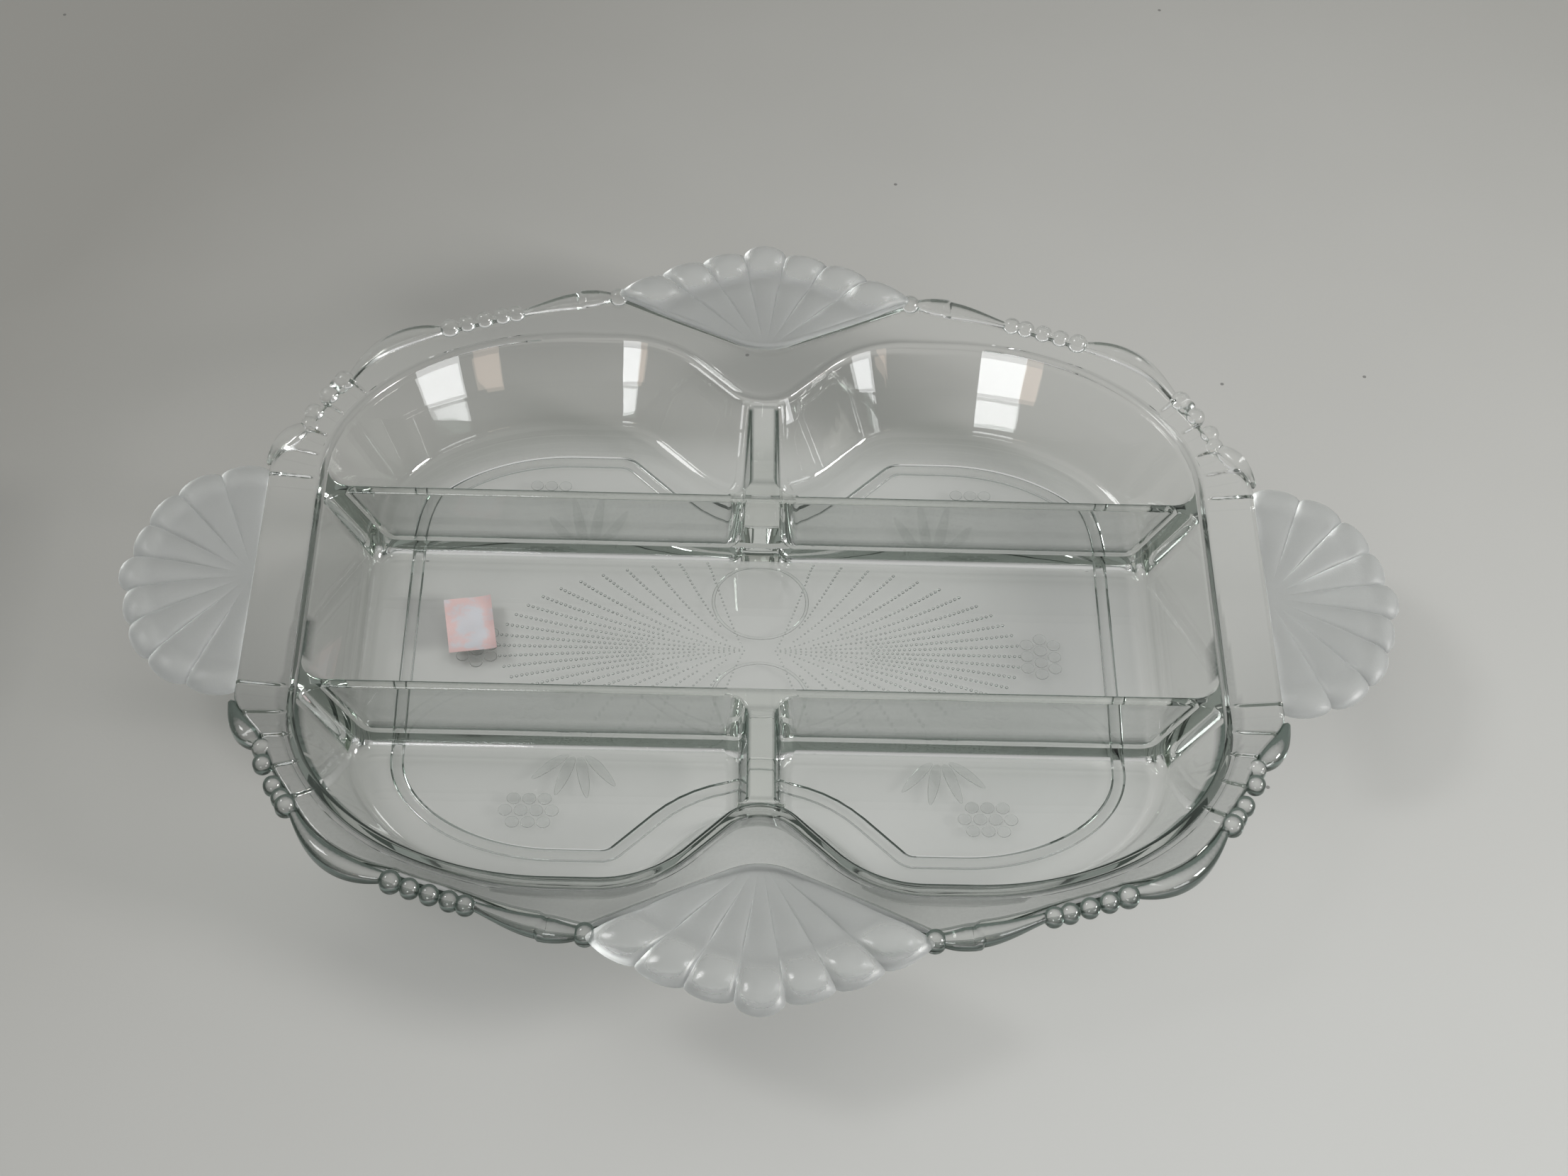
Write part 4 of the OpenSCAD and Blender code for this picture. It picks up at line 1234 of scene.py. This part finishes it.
def rim_moulding(s, rim):
    """Meshes of the rim's scrolls, beads and curls, four alike in each."""
    rods, balls = scroll_tree(), bead_tree()
    thickness = {"Thickness": s.scroll_t}
    lines = [scroll_guides(rim, shares) for shares in rim.scrolls]
    shapes = [grown("scroll", rods, clear(), line, thickness) for line in lines]
    curls = [(t, s.bead_d, BEAD_OUT_SHARE) for t in CORNER_BEAD_SHARES + CLUSTER_BEAD_SHARES]
    curls += [(t, s.curl_d, BEAD_OUT_SHARE) for t in CORNER_SCROLL_SHARES]
    curls += [
        (LOBE_SCROLL_SHARES[0], s.bead_d, 0.25), (SIDE_SCROLL_END_SHARE, s.bead_d, 0.1),
        (LOBE_SCROLL_SHARES[1], s.curl_d, 0.2),
    ]
    shapes += [grown("beads", balls, clear(), ball_guides(rim, *curl), {}) for curl in curls]
    meshes = [shape.data for shape in shapes]
    for shape in shapes:
        tidy_mesh(shape.data)
        bpy.data.objects.remove(shape)
    return meshes


# Painted shade on the clear glass

# Strengths of the painted shade on the clear glass, and the share of it that the back keeps
RIM_DARKNESS, MOULDING_DARKNESS, FLANGE_DARKNESS = 1.7, 2.3, 1.1
WEB_TOP, WEB_FOOT, WEB_END, WEB_PANEL = 1.5, 1.0, 0.8, 0.6
REAR_MOULDING_SHARE, REAR_RIM_SHARE = 0.06, 0.6
FRONT_FROM, FRONT_RUN = 20 * MM, 60 * MM
MOULDING_MARKS = 90
MARK_PITCH = 1.5 * MM
WEB_SKIN, WEB_FLOOR_GAP, WEB_TOP_GAP, WEB_WALL_GAP = 0.6 * MM, 0.05 * MM, 0.1 * MM, 0.5 * MM
WEB_TOP_SHARE, WEB_FOOT_SHARE, WEB_END_SHARE = 0.35, 1.45, 0.9
MOULDING_REACH, MOULDING_MARGIN = 1.12, 0.2 * MM
LIP_OUT, LIP_REACH, LIP_FRONT_REACH = 0.6 * MM, 1.2 * MM, 1.1 * MM
FLANGE_FROM, FLANGE_DEPTH, LIP_DEPTH = 2 * MM, 0.3 * MM, 1.5 * MM


def frontness(y):
    """1 at the tray's front, falling to 0 at its back."""
    return smooth((FRONT_FROM - y) / FRONT_RUN)


def web_darkness(s, rim, x, y, z):
    """Painted shade on the glass of a divider or spine at a place on it, and 0 away from them."""
    off = abs(y) - s.divider_y
    above_floor = z > s.floor_z + WEB_FLOOR_GAP
    below_top = z <= s.divider_top + WEB_TOP_GAP
    if (
        off > s.divider_t / 2 and abs(y) < rim.notch_y - s.notch_r and above_floor and below_top
        and s.spine_t / 2 - s.top_round < abs(x) < web_half(s, s.spine_t, z) + WEB_SKIN
    ):
        return WEB_TOP if z > s.divider_top - s.foot_fillet else WEB_PANEL
    wall = s.well_half_l - rim.wall_in(z)
    on_divider = abs(off) <= web_half(s, s.divider_t, z) + WEB_SKIN
    if not (on_divider and above_floor and below_top and abs(x) <= wall + WEB_WALL_GAP):
        return 0.0
    if z > s.divider_top - WEB_TOP_SHARE * s.top_round:
        return WEB_TOP
    if z < s.floor_z + WEB_FOOT_SHARE * s.foot_fillet:
        return WEB_FOOT
    return WEB_END if abs(x) > wall - WEB_END_SHARE * s.end_fillet else WEB_PANEL


def moulding_marks(s, rim):
    """Places along the scrolls, beads and curls, each with its reach and its painted shade."""
    spots = []
    for first, last in rim.scrolls:
        for part in np.linspace(0, 1, MOULDING_MARKS):
            swell = math.sin(math.pi * part**SWELL_SKEW)
            radius = s.scroll_t / 2 * (TAIL_SHARE + (1 - TAIL_SHARE) * swell)
            out = 2 * SCROLL_OUT_SHARE * radius
            spots.append((first + (last - first) * part, radius, out))
    for t in CORNER_BEAD_SHARES + CLUSTER_BEAD_SHARES + CORNER_SCROLL_SHARES + LOBE_SCROLL_SHARES:
        spots.append((t, s.curl_d / 2, BEAD_OUT_SHARE * s.bead_d))
    for t, radius, out in spots:
        _, way, edge = rim.share(t)
        reach = MOULDING_REACH * radius + MOULDING_MARGIN
        x, y = (edge[k] + way[k] * out for k in (0, 1))
        for [place] in in_quarters([(x, y, rim.moulding_z)]):
            near = REAR_MOULDING_SHARE + (1 - REAR_MOULDING_SHARE) * frontness(place[1])
            yield place, reach, MOULDING_DARKNESS * near


def lip_marks(s, stations):
    """Places along the well's lip, each with its reach and its painted shade."""
    for station in stations:
        near = frontness(station[1])
        lip = station[0:2] + station[2:4] * (LIP_OUT + near * MM)
        dark = RIM_DARKNESS * (REAR_RIM_SHARE + (1 - REAR_RIM_SHARE) * near)
        yield (*lip, s.rim_h), LIP_REACH + LIP_FRONT_REACH * near, dark


def search_tree(places):
    tree = KDTree(len(places))
    for k, place in enumerate(places):
        tree.insert(place, k)
    tree.balance()
    return tree


def mark_painted_shade_and_haze(mesh, s, rim):
    """Stores painted shade on the glass, and how hazy moulding and lip are at the back.

    The shade is painted on the webs and, towards the front, on the moulding, the well's lip and the
    flange.
    """
    stations = rim.stations(MARK_PITCH)
    marks = [*moulding_marks(s, rim), *lip_marks(s, stations)]
    near_marks = search_tree([place for place, _, _ in marks])
    near_rim = search_tree([(*station[0:2], s.rim_h) for station in stations])
    thick, worn = np.zeros((2, len(mesh.vertices)))
    for k, point in enumerate(mesh.vertices):
        x, y, z = point.co
        thick[k] = web_darkness(s, rim, x, y, z)
        if z < s.rim_h - s.flange_t - FLANGE_DEPTH:
            continue
        station = stations[near_rim.find(point.co)[1]]
        if (x - station[0]) * station[2] + (y - station[1]) * station[3] > FLANGE_FROM:
            thick[k] = FLANGE_DARKNESS * frontness(y + FRONT_FROM)
        if z < s.rim_h - LIP_DEPTH:
            continue
        found = near_marks.find_range(point.co, s.curl_d / 2 + 0.5 * MM)
        close = [marks[i][2] for _, i, away in found if away < marks[i][1]]
        if close:
            thick[k] = max(*close, thick[k])
            worn[k] = 1 - frontness(y)
    # Stores the painted shade under the name thick, and the haze at the back
    store(mesh, "thick", thick)
    store(mesh, "worn", worn)


# Pressed pattern

# The pattern's counts, and its places as shares of the room inside the foot ring
RAY_COUNT = 12
RAY_POINTS = 28
RAY_STARTS = (0.0, 0.42, 0.22, 0.42)
RAY_SWEEP = math.radians(78)
SHEAF_SLOPE = math.radians(24.6)
RAY_START_SHARE = 0.06
RAY_BEND_SHARES = (0.5, 0.2)
BERRY_ROWS = (3, 4, 3)
BERRY_PITCH_SHARE = 2.1
BERRY_ROW_SHARE = 0.92
DISC_RADIUS_SHARE = 0.308
DISC_PLACE_SHARE = 0.397
LEAF_ROOT_SHARES = (0.4, 0.5)
LEAF_LENGTH_SHARE = 0.26
LEAF_ANGLES = (-46, -18, 10, 38)
BUNCH_SHARES = (0.5, 0.82)
SEAT_GAP = 0.01 * MM

# Depths of the kinds of pressing, as shares of the pattern's
STIPPLE_DEPTH, BERRY_DEPTH, LEAF_DEPTH, DISC_DEPTH = 0.75, 0.65, 0.6, 0.4
BERRY_SPREAD, DISC_HALF_SHARE = 0.95, 0.4
DISC_STEPS, DISC_SECTION_STEPS = 96, 9


def flat_topped(shape):
    """Presses a shape's upper half flat, so that it seats under the floor."""
    x, y, z = position(shape.tree)
    return moved(shape, x, y, z.most(0.0))


def stipple_tree():
    """Rows of small domes along guide lines, growing a little outwards and never stacked."""
    tree, v = geometry_tree(
        "stippled_rays", {"Pitch": 1.35 * MM, "Width": 1.2 * MM, "Depth": 0.6 * MM}
    )
    lines = field(tree, "GeometryNodeMeshToCurve", {"Mesh": v["Guide"]})
    slots = {"Curve": lines, "Length": v["Pitch"]}
    spaced = field(tree, "GeometryNodeResampleCurve", slots, mode="LENGTH")
    marks = field(tree, "GeometryNodeCurveToMesh", {"Curve": spaced})
    slots = {0: field(tree, "GeometryNodeInputPosition")}
    far = field(tree, "ShaderNodeVectorMath", slots, "Value", operation="LENGTH")
    grow = 0.5 + 0.5 * (far / (60 * MM)).smooth()
    wide = v["Width"] * 0.45 * grow
    size = vector(tree, wide, wide, v["Depth"] * grow)
    dome = flat_topped(unit_ball(tree, 8, 4))
    return end_tree(set_on(merged(marks, v["Width"] * 0.5), dome, Scale=size), v)


def dome_tree():
    """Shallow domes on guide points, for the berries."""
    tree, v = geometry_tree("pressed_dome", {"Radius": 1.8 * MM, "Depth": 0.6 * MM})
    size = vector(tree, v["Radius"], v["Radius"], v["Depth"])
    return end_tree(set_on(v["Guide"], flat_topped(unit_ball(tree, 20, 12)), Scale=size), v)


def leaf_tree():
    """Pointed leaves on guide points: a domed oval blade with a groove for its rib."""
    tree, v = geometry_tree("pressed_leaf", {"Width Share": 0.26, "Depth": 0.6 * MM})
    slots = {"Geometry": unit_ball(tree, 24, 20), "Rotation": (math.pi / 2, 0.0, 0.0)}
    upright = field(tree, "GeometryNodeTransform", slots)
    x, y, z = position(tree)
    taper = 1.0 - 0.35 * (y * 0.5 + 0.5)
    groove = 1.0 - 0.55 * (1.0 - abs(x * 5.0).most(1.0))
    blade = moved(upright, x * taper, y + 1.0, z.most(0.0) * groove)
    long = named(tree, "long")
    size = vector(tree, long * v["Width Share"] * 0.5, long * 0.5, v["Depth"])
    way = vector(tree, 0.0, 0.0, named(tree, "turn"))
    return end_tree(set_on(v["Guide"], blade, Rotation=way, Scale=size), v)


class Pattern:
    """Places of the pressed pattern under the floor."""

    def __init__(self, s, rim):
        self.z = s.pane_z - SEAT_GAP
        self.pitch = BERRY_PITCH_SHARE * s.berry_r
        bunch_half = self.pitch * BERRY_ROW_SHARE + s.berry_r
        self.bunch_x = s.well_half_l - rim.ring_inside - s.side_margin - bunch_half
        self.sheaf_l = self.bunch_x - 3 * s.berry_r
        self.sheaf_half = self.sheaf_l * math.tan(SHEAF_SLOPE)
        notch_room = rim.notch_y - s.notch_r - rim.ring_inside
        self.disc_r = notch_room * DISC_RADIUS_SHARE
        self.disc_y = notch_room * DISC_PLACE_SHARE
        lobe_room = s.well_half_w - rim.ring_inside
        self.leaf_root = (s.well_half_l * LEAF_ROOT_SHARES[0], lobe_room * LEAF_ROOT_SHARES[1])
        self.leaf_l = lobe_room * LEAF_LENGTH_SHARE
        self.bunch = (s.well_half_l * BUNCH_SHARES[0], lobe_room * BUNCH_SHARES[1])

    def rays(self):
        lines = []
        for hand in (1, -1):
            for k in range(-RAY_COUNT, RAY_COUNT + 1):
                a = RAY_SWEEP * k / RAY_COUNT
                end = (self.sheaf_l * math.cos(a), self.sheaf_half * math.sin(a))
                t = np.linspace(RAY_STARTS[k % len(RAY_STARTS)], 1, RAY_POINTS)
                x, y = (
                    2 * t * (1 - t) * goal * bend + t * t * goal
                    for goal, bend in zip(end, RAY_BEND_SHARES)
                )
                x += (1 - t) ** 2 * self.sheaf_l * RAY_START_SHARE
                lines.append(np.column_stack([hand * x, y, np.full(RAY_POINTS, self.z)]))
        return lines

    def berries(self):
        across = [
            ((row - 1) * self.pitch * BERRY_ROW_SHARE, (k - (count - 1) / 2) * self.pitch)
            for row, count in enumerate(BERRY_ROWS) for k in range(count)
        ]
        points = [(hand * self.bunch_x + x, y, self.z) for hand in (-1, 1) for x, y in across]
        for sx, sy in QUARTERS:
            points += [
                (sx * (self.bunch[0] - y), sy * (self.bunch[1] + x), self.z) for x, y in across
            ]
        return points

    def leaves(self):
        points, turns, longs = [], [], []
        for sx, sy in QUARTERS:
            for a in np.radians(LEAF_ANGLES):
                way = Vector((-math.sin(a) * sx, math.cos(a) * sy))
                root = Vector((self.leaf_root[0] * sx, self.leaf_root[1] * sy))
                points.append((*(root + way * self.leaf_l * 0.2), self.z))
                turns.append(math.atan2(-way.x, way.y))
                longs.append(self.leaf_l * (0.6 + 0.2 * math.cos(a)))
        return points, turns, longs

    def discs(self, s):
        """Two round ridges at the crossing, half round in section."""
        half = DISC_HALF_SHARE * s.ray_w
        profile = [
            (-half * math.cos(b), -DISC_DEPTH * s.pattern_h * math.sin(b))
            for b in np.linspace(0, math.pi, DISC_SECTION_STEPS)
        ]
        points, faces = [], []
        n, m = DISC_STEPS, len(profile)
        for side in (-1, 1):
            first = len(points)
            for a in np.linspace(0, 2 * math.pi, n + 1)[:-1]:
                for off, drop in profile:
                    r = self.disc_r - half + off
                    y = side * self.disc_y + r * math.sin(a)
                    points.append((r * math.cos(a), y, self.z + drop))
            for i in range(n):
                for k in range(m):
                    here, there = first + i * m, first + (i + 1) % n * m
                    l = (k + 1) % m
                    faces.append((here + k, there + k, there + l, here + l))
        mesh = closed_mesh("disc_ridges", points, faces)
        crease(mesh, DISC_CREASE)
        return mesh


# Price sticker

PAPER_T, PAPER_GAP, CRUMPLE = 0.12 * MM, 0.02 * MM, 0.06 * MM
END_CURL, END_CURL_FROM, SIDE_CURL, SIDE_CURL_FROM = 0.9 * MM, 0.28, 0.35 * MM, 0.8
STICKER_TURN = math.radians(9)
STICKER_STEPS = (14, 20)


def sticker_mesh(s):
    """Thin sheet, a little crumpled, with its near edge and a side curling up."""
    across, down = STICKER_STEPS
    points, uvs = [], []
    for layer in (0, 1):
        for j in range(down + 1):
            for i in range(across + 1):
                u, v = i / across, j / down
                curl = END_CURL * max(0.0, 1 - v / END_CURL_FROM) ** 2
                curl += SIDE_CURL * max(0.0, (u - SIDE_CURL_FROM) / (1 - SIDE_CURL_FROM)) ** 2
                crumple = CRUMPLE * (math.sin(9 * u + 5 * v) + math.sin(13 * v - 4 * u) + 2)
                z = s.floor_z + PAPER_GAP + curl + crumple * min(1.0, 4 * v) + layer * PAPER_T
                points.append(((u - 0.5) * s.sticker_w, (v - 0.5) * s.sticker_l, z))
                uvs.append((u, v))
    n, row = (across + 1) * (down + 1), across + 1
    faces = []
    for j in range(down):
        for i in range(across):
            a = j * row + i
            b, c, d = a + 1, a + row + 1, a + row
            faces += [(n + a, n + b, n + c, n + d), (d, c, b, a)]
    loop = [*range(across), *(across + j * row for j in range(down))]
    loop += [*(n - 1 - i for i in range(across)), *((down - j) * row for j in range(down))]
    for a, b in zip(loop, loop[1:] + loop[:1]):
        faces.append((a, b, n + b, n + a))
    mesh = bpy.data.meshes.new("sticker")
    mesh.from_pydata(points, [], faces)
    layer = mesh.uv_layers.new(name="sheet")
    for corner in mesh.loops:
        layer.data[corner.index].uv = uvs[corner.vertex_index]
    place = Matrix.Translation((s.sticker_inset - s.well_half_l, s.sticker_y, 0))
    mesh.transform(place @ Matrix.Rotation(STICKER_TURN, 4, "Z"))
    tidy_mesh(mesh)
    crease(mesh, PAPER_CREASE)
    return mesh


# Operators


def tray_sizes():
    sizes = bpy.context.scene.relish_sizes
    return sizes, Rim(sizes)


class RELISH_OT_tray_body(bpy.types.Operator):
    """Builds the clear body: floor, foot ring, wall, flange, dividers, spines and rim moulding"""

    bl_idname = "relish.tray_body"
    bl_label = "Tray body"

    def execute(self, context):
        s, rim = tray_sizes()
        webs = [make(s, rim, side) for make in (divider_mesh, spine_mesh) for side in (1, -1)]
        mesh = combined(bowl_mesh(s, rim), webs + rim_moulding(s, rim), "tray_body")
        tidy_mesh(mesh, WELD)
        body = placed("tray_body", ruled_by_flats(mesh, BODY_CREASE))
        mark_painted_shade_and_haze(body.data, s, rim)
        finished(
            body, clear(), "clear_glass", "floor_pane", "foot_ring", "well_wall", "rim_flange",
            "rear_divider", "front_divider", "rear_spine", "front_spine", "side_scrolls",
            "corner_scrolls", "lobe_scrolls", "corner_beads", "cluster_beads", "scroll_curls",
        )
        return {"FINISHED"}


class RELISH_OT_shells(bpy.types.Operator):
    """Builds the four satin scallop shells"""

    bl_idname = "relish.shells"
    bl_label = "Scallop shells"

    def execute(self, context):
        s, rim = tray_sizes()
        satin = shared_material("pressed_satin", satin_glass)
        tree = shell_tree()
        z = s.edge_h - s.shell_drop
        common = {
            "Lead": s.lobe_lead, "Scallop": s.scallop, "Thickness": s.shell_t,
            "Ray Rise": s.ray_rise,
        }
        side_sizes = {
            **common, "Lobes": 9, "Spread": math.pi / 2, "Reach": s.side_reach,
            "Half Width": s.side_half, "Tip Rise": s.side_tip_rise, "Tip Share": 0.1,
            "Pearl Share": 0.3,
        }
        end_sizes = {
            **common, "Lobes": 7, "Spread": math.radians(62), "Reach": s.end_reach, "Power": 1.6,
            "Half Width": rim.root_half + s.end_wing, "Tip Rise": s.tip_rise, "Neck": 0.8,
            "Tip Share": 0.15,
        }
        side_x = s.well_half_l + s.band_side - SHELL_LAP
        for name, hand in (("right_shell", 1), ("left_shell", -1)):
            turn = 0.0 if hand > 0 else math.pi
            place = (hand * side_x, 0, z)
            shell = shell_object(name + "_satin", tree, satin, side_sizes, place, turn)
            crease(shell.data, SATIN_CREASE)
            finished(shell, satin, "satin_glass", name)
        for name, hand in (("rear_shell", 1), ("front_shell", -1)):
            place, turn = (0, hand * (rim.root_y - s.hinge_set), z), hand * math.pi / 2
            shell = shell_object(name + "_satin", tree, satin, end_sizes, place, turn)
            prism = flange_prism(rim, SHELL_LAP)
            cut = combined(shell.data, [prism], shell.name, "DIFFERENCE")
            shell.data = combined(cut, [crest_mesh(s, rim, hand)], shell.name)
            tidy_mesh(shell.data, CUT_WELD)
            crease(shell.data, SATIN_CREASE)
            finished(shell, satin, "satin_glass", name)
        return {"FINISHED"}


class RELISH_OT_floor_pattern(bpy.types.Operator):
    """Builds the sheaf, the discs, the berries and the leaves pressed under the floor"""

    bl_idname = "relish.floor_pattern"
    bl_label = "Floor pattern"

    def execute(self, context):
        s, rim = tray_sizes()
        pattern = Pattern(s, rim)
        glass, depth = clear(), s.pattern_h
        rays = lines_mesh("ray_lines", pattern.rays())
        dots = {"Pitch": s.stipple_pitch, "Width": s.ray_w, "Depth": depth * STIPPLE_DEPTH}
        berries = guide_mesh("berry_points", pattern.berries())
        domes = {"Radius": s.berry_r * BERRY_SPREAD, "Depth": depth * BERRY_DEPTH}
        points, turns, longs = pattern.leaves()
        leaves = guide_mesh("leaf_points", points, turn=turns, long=longs)
        blades = {"Depth": depth * LEAF_DEPTH}
        for piece, replaced in (
            (grown("sheaf_stipple", stipple_tree(), glass, rays, dots), "sheaf_rays"),
            (grown("berry_domes", dome_tree(), glass, berries, domes), "berry_clusters"),
            (grown("leaf_blades", leaf_tree(), glass, leaves, blades), "leaf_sprays"),
            (placed("disc_ridges", pattern.discs(s)), "crossing_discs"),
        ):
            # The mark keeps the pattern clear, however light reaches it
            store(piece.data, "pressed", np.ones(len(piece.data.vertices)))
            finished(piece, glass, "clear_glass", replaced)
        return {"FINISHED"}


class RELISH_OT_sticker(bpy.types.Operator):
    """Builds the blank price sticker on the floor of the middle compartment"""

    bl_idname = "relish.sticker"
    bl_label = "Price sticker"

    def execute(self, context):
        s, _ = tray_sizes()
        sticker = placed("price_label", sticker_mesh(s))
        paper = shared_material("label_paper", sticker_paper)
        finished(sticker, paper, "sticker_paper", "price_sticker")
        return {"FINISHED"}


TABLE_HALF, TABLE_GAP = 1.6, 0.2 * MM
CEILING_FROM, CEILING_RUN, WALL_FROM, WALL_RUN = 0.3, 0.45, -0.15, 0.6
ROOM_LEVEL, CEILING_LEVEL, WALL_LEVEL, WALL_TO_RIGHT, BLUE_SHARE = 0.2, 0.38, 0.19, 0.10, 0.985
LAMP_AWAY, WINDOW_AWAY = 1.6, 2.2
BACKDROP = (0.42, 0.42, 0.41, 1)
DAYLIGHT, COOL, WARM = (1.0, 0.99, 0.97), (0.98, 0.99, 1.0), (1.0, 0.78, 0.64)


def direction(azimuth, elevation):
    """Direction from the tray. Azimuth 0 is in front of it, 90 degrees to its right."""
    level = math.cos(elevation)
    return Vector((math.sin(azimuth) * level, -math.cos(azimuth) * level, math.sin(elevation)))


def area_light(name, azimuth, elevation, distance, size, power, shade):
    """Area lamp on a sphere round the tray, turned to face it."""
    lamp = bpy.data.lights.new(name, "AREA")
    lamp.shape = "RECTANGLE"
    lamp.size, lamp.size_y = size
    lamp.energy = power
    lamp.color = shade
    obj = placed(name, lamp)
    way = direction(math.radians(azimuth), math.radians(elevation))
    obj.location = way * distance
    obj.rotation_mode = "QUATERNION"
    obj.rotation_quaternion = way.to_track_quat("Z", "Y")
    obj.visible_camera = False


class RELISH_OT_stage(bpy.types.Operator):
    """Sets the table, the lights and the camera"""

    bl_idname = "relish.stage"
    bl_label = "Stage"

    def execute(self, context):
        stage = context.scene.relish_stage
        half = TABLE_HALF
        corners = [(-half, -half), (half, -half), (half, half), (-half, half)]
        mesh = bpy.data.meshes.new("table")
        mesh.from_pydata([(x, y, -TABLE_GAP) for x, y in corners], [], [(0, 1, 2, 3)])
        table = placed("table", mesh)
        table.data.materials.append(shared_material("table_top", table_top))
        table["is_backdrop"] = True
        self.room(stage)
        self.lamps(stage)
        self.camera(stage)
        context.scene.view_settings.view_transform = "Standard"
        return {"FINISHED"}

    def room(self, stage):
        """A bright ceiling over darker walls, with an even backdrop for the camera."""
        world = bpy.data.worlds.new("room")
        bpy.context.scene.world = world
        world.use_nodes = True
        tree = world.node_tree
        tree.nodes.clear()
        across, back, up = split(tree, field(tree, "ShaderNodeTexCoord", out="Generated"))
        ceiling = ((up - CEILING_FROM) / CEILING_RUN).smooth()
        far_wall = ((back - WALL_FROM) / WALL_RUN).smooth() * (1.0 - ceiling)
        level = ROOM_LEVEL + ceiling * CEILING_LEVEL
        level += far_wall * (WALL_LEVEL + WALL_TO_RIGHT * across)
        slots = {"Color": vector(tree, level, level, level * BLUE_SHARE), "Strength": stage.sky}
        room = field(tree, "ShaderNodeBackground", slots)
        seen = field(tree, "ShaderNodeBackground", {"Color": BACKDROP, "Strength": 1.0})
        by_camera = field(tree, "ShaderNodeLightPath", out="Is Camera Ray")
        both = field(tree, "ShaderNodeMixShader", {0: by_camera, 1: room, 2: seen})
        node(tree, "ShaderNodeOutputWorld", {"Surface": both})

    def lamps(self, stage):
        """A side window, a soft lamp at the left and four panes behind the camera."""
        area_light("side_window", 76, 22, LAMP_AWAY, (0.36, 0.26), stage.key, DAYLIGHT)
        area_light("left_lamp", -105, 50, LAMP_AWAY, (0.4, 0.4), stage.key * 0.25, WHITE)
        area_light("window_right", 48.5, 11, WINDOW_AWAY, (0.72, 0.62), 10, COOL)
        area_light("window_front", -13, 12.5, WINDOW_AWAY, (0.60, 0.55), 8, COOL)
        area_light("warm_right", 28.5, 14.6, WINDOW_AWAY, (0.36, 0.17), 0.5, WARM)
        area_light("warm_left", -24, 14.2, WINDOW_AWAY, (0.24, 0.17), 0.35, WARM)

    def camera(self, stage):
        lens = bpy.data.cameras.new("photo_camera")
        lens.lens = stage.lens
        lens.sensor_width = 36
        lens.sensor_fit = "HORIZONTAL"
        lens.clip_start, lens.clip_end = 0.01, 20
        obj = placed("photo_camera", lens)
        a, roll = stage.azimuth, stage.roll
        back = direction(a, stage.elevation)
        right = Vector((math.cos(a), math.sin(a), 0))
        up = back.cross(right)
        level = math.cos(roll) * right + math.sin(roll) * up
        upright = math.cos(roll) * up - math.sin(roll) * right
        turn = Matrix((level, upright, back)).transposed()
        place = Vector(stage.target) + back * stage.distance
        obj.matrix_world = Matrix.Translation(place) @ turn.to_4x4()
        bpy.context.scene.camera = obj


class RELISH_PT_panel(bpy.types.Panel):
    """Panel with the tray's parts, sizes and finishes"""

    bl_label = "Relish Tray"
    bl_idname = "RELISH_PT_panel"
    bl_space_type = "VIEW_3D"
    bl_region_type = "UI"
    bl_category = "Relish Tray"

    def draw(self, context):
        column = self.layout.column(align=True)
        for step in STEPS:
            column.operator(step.bl_idname)
        for name in GROUPS:
            group = getattr(context.scene, name)
            box = self.layout.box()
            for key in group.__annotations__:
                box.prop(group, key)


GROUPS = {
    "relish_sizes": RelishTraySizes, "relish_finish": RelishTrayFinish,
    "relish_stage": RelishTrayStage,
}
STEPS = (
    RELISH_OT_stage, RELISH_OT_tray_body, RELISH_OT_shells, RELISH_OT_floor_pattern,
    RELISH_OT_sticker,
)


def register():
    for kind in (*GROUPS.values(), *STEPS, RELISH_PT_panel):
        bpy.utils.register_class(kind)
    for name, kind in GROUPS.items():
        setattr(bpy.types.Scene, name, PointerProperty(type=kind))


def unregister():
    for name in reversed(GROUPS):
        delattr(bpy.types.Scene, name)
    for kind in reversed((*GROUPS.values(), *STEPS, RELISH_PT_panel)):
        bpy.utils.unregister_class(kind)


def main():
    register()
    for step in STEPS:
        group, name = step.bl_idname.split(".")
        getattr(getattr(bpy.ops, group), name)()
    boxes = {"cad": cad_box, "visual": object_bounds()}
    {k: [list(corner) for corner in box] for k, box in boxes.items()}


if __name__ == "__main__":
    main()
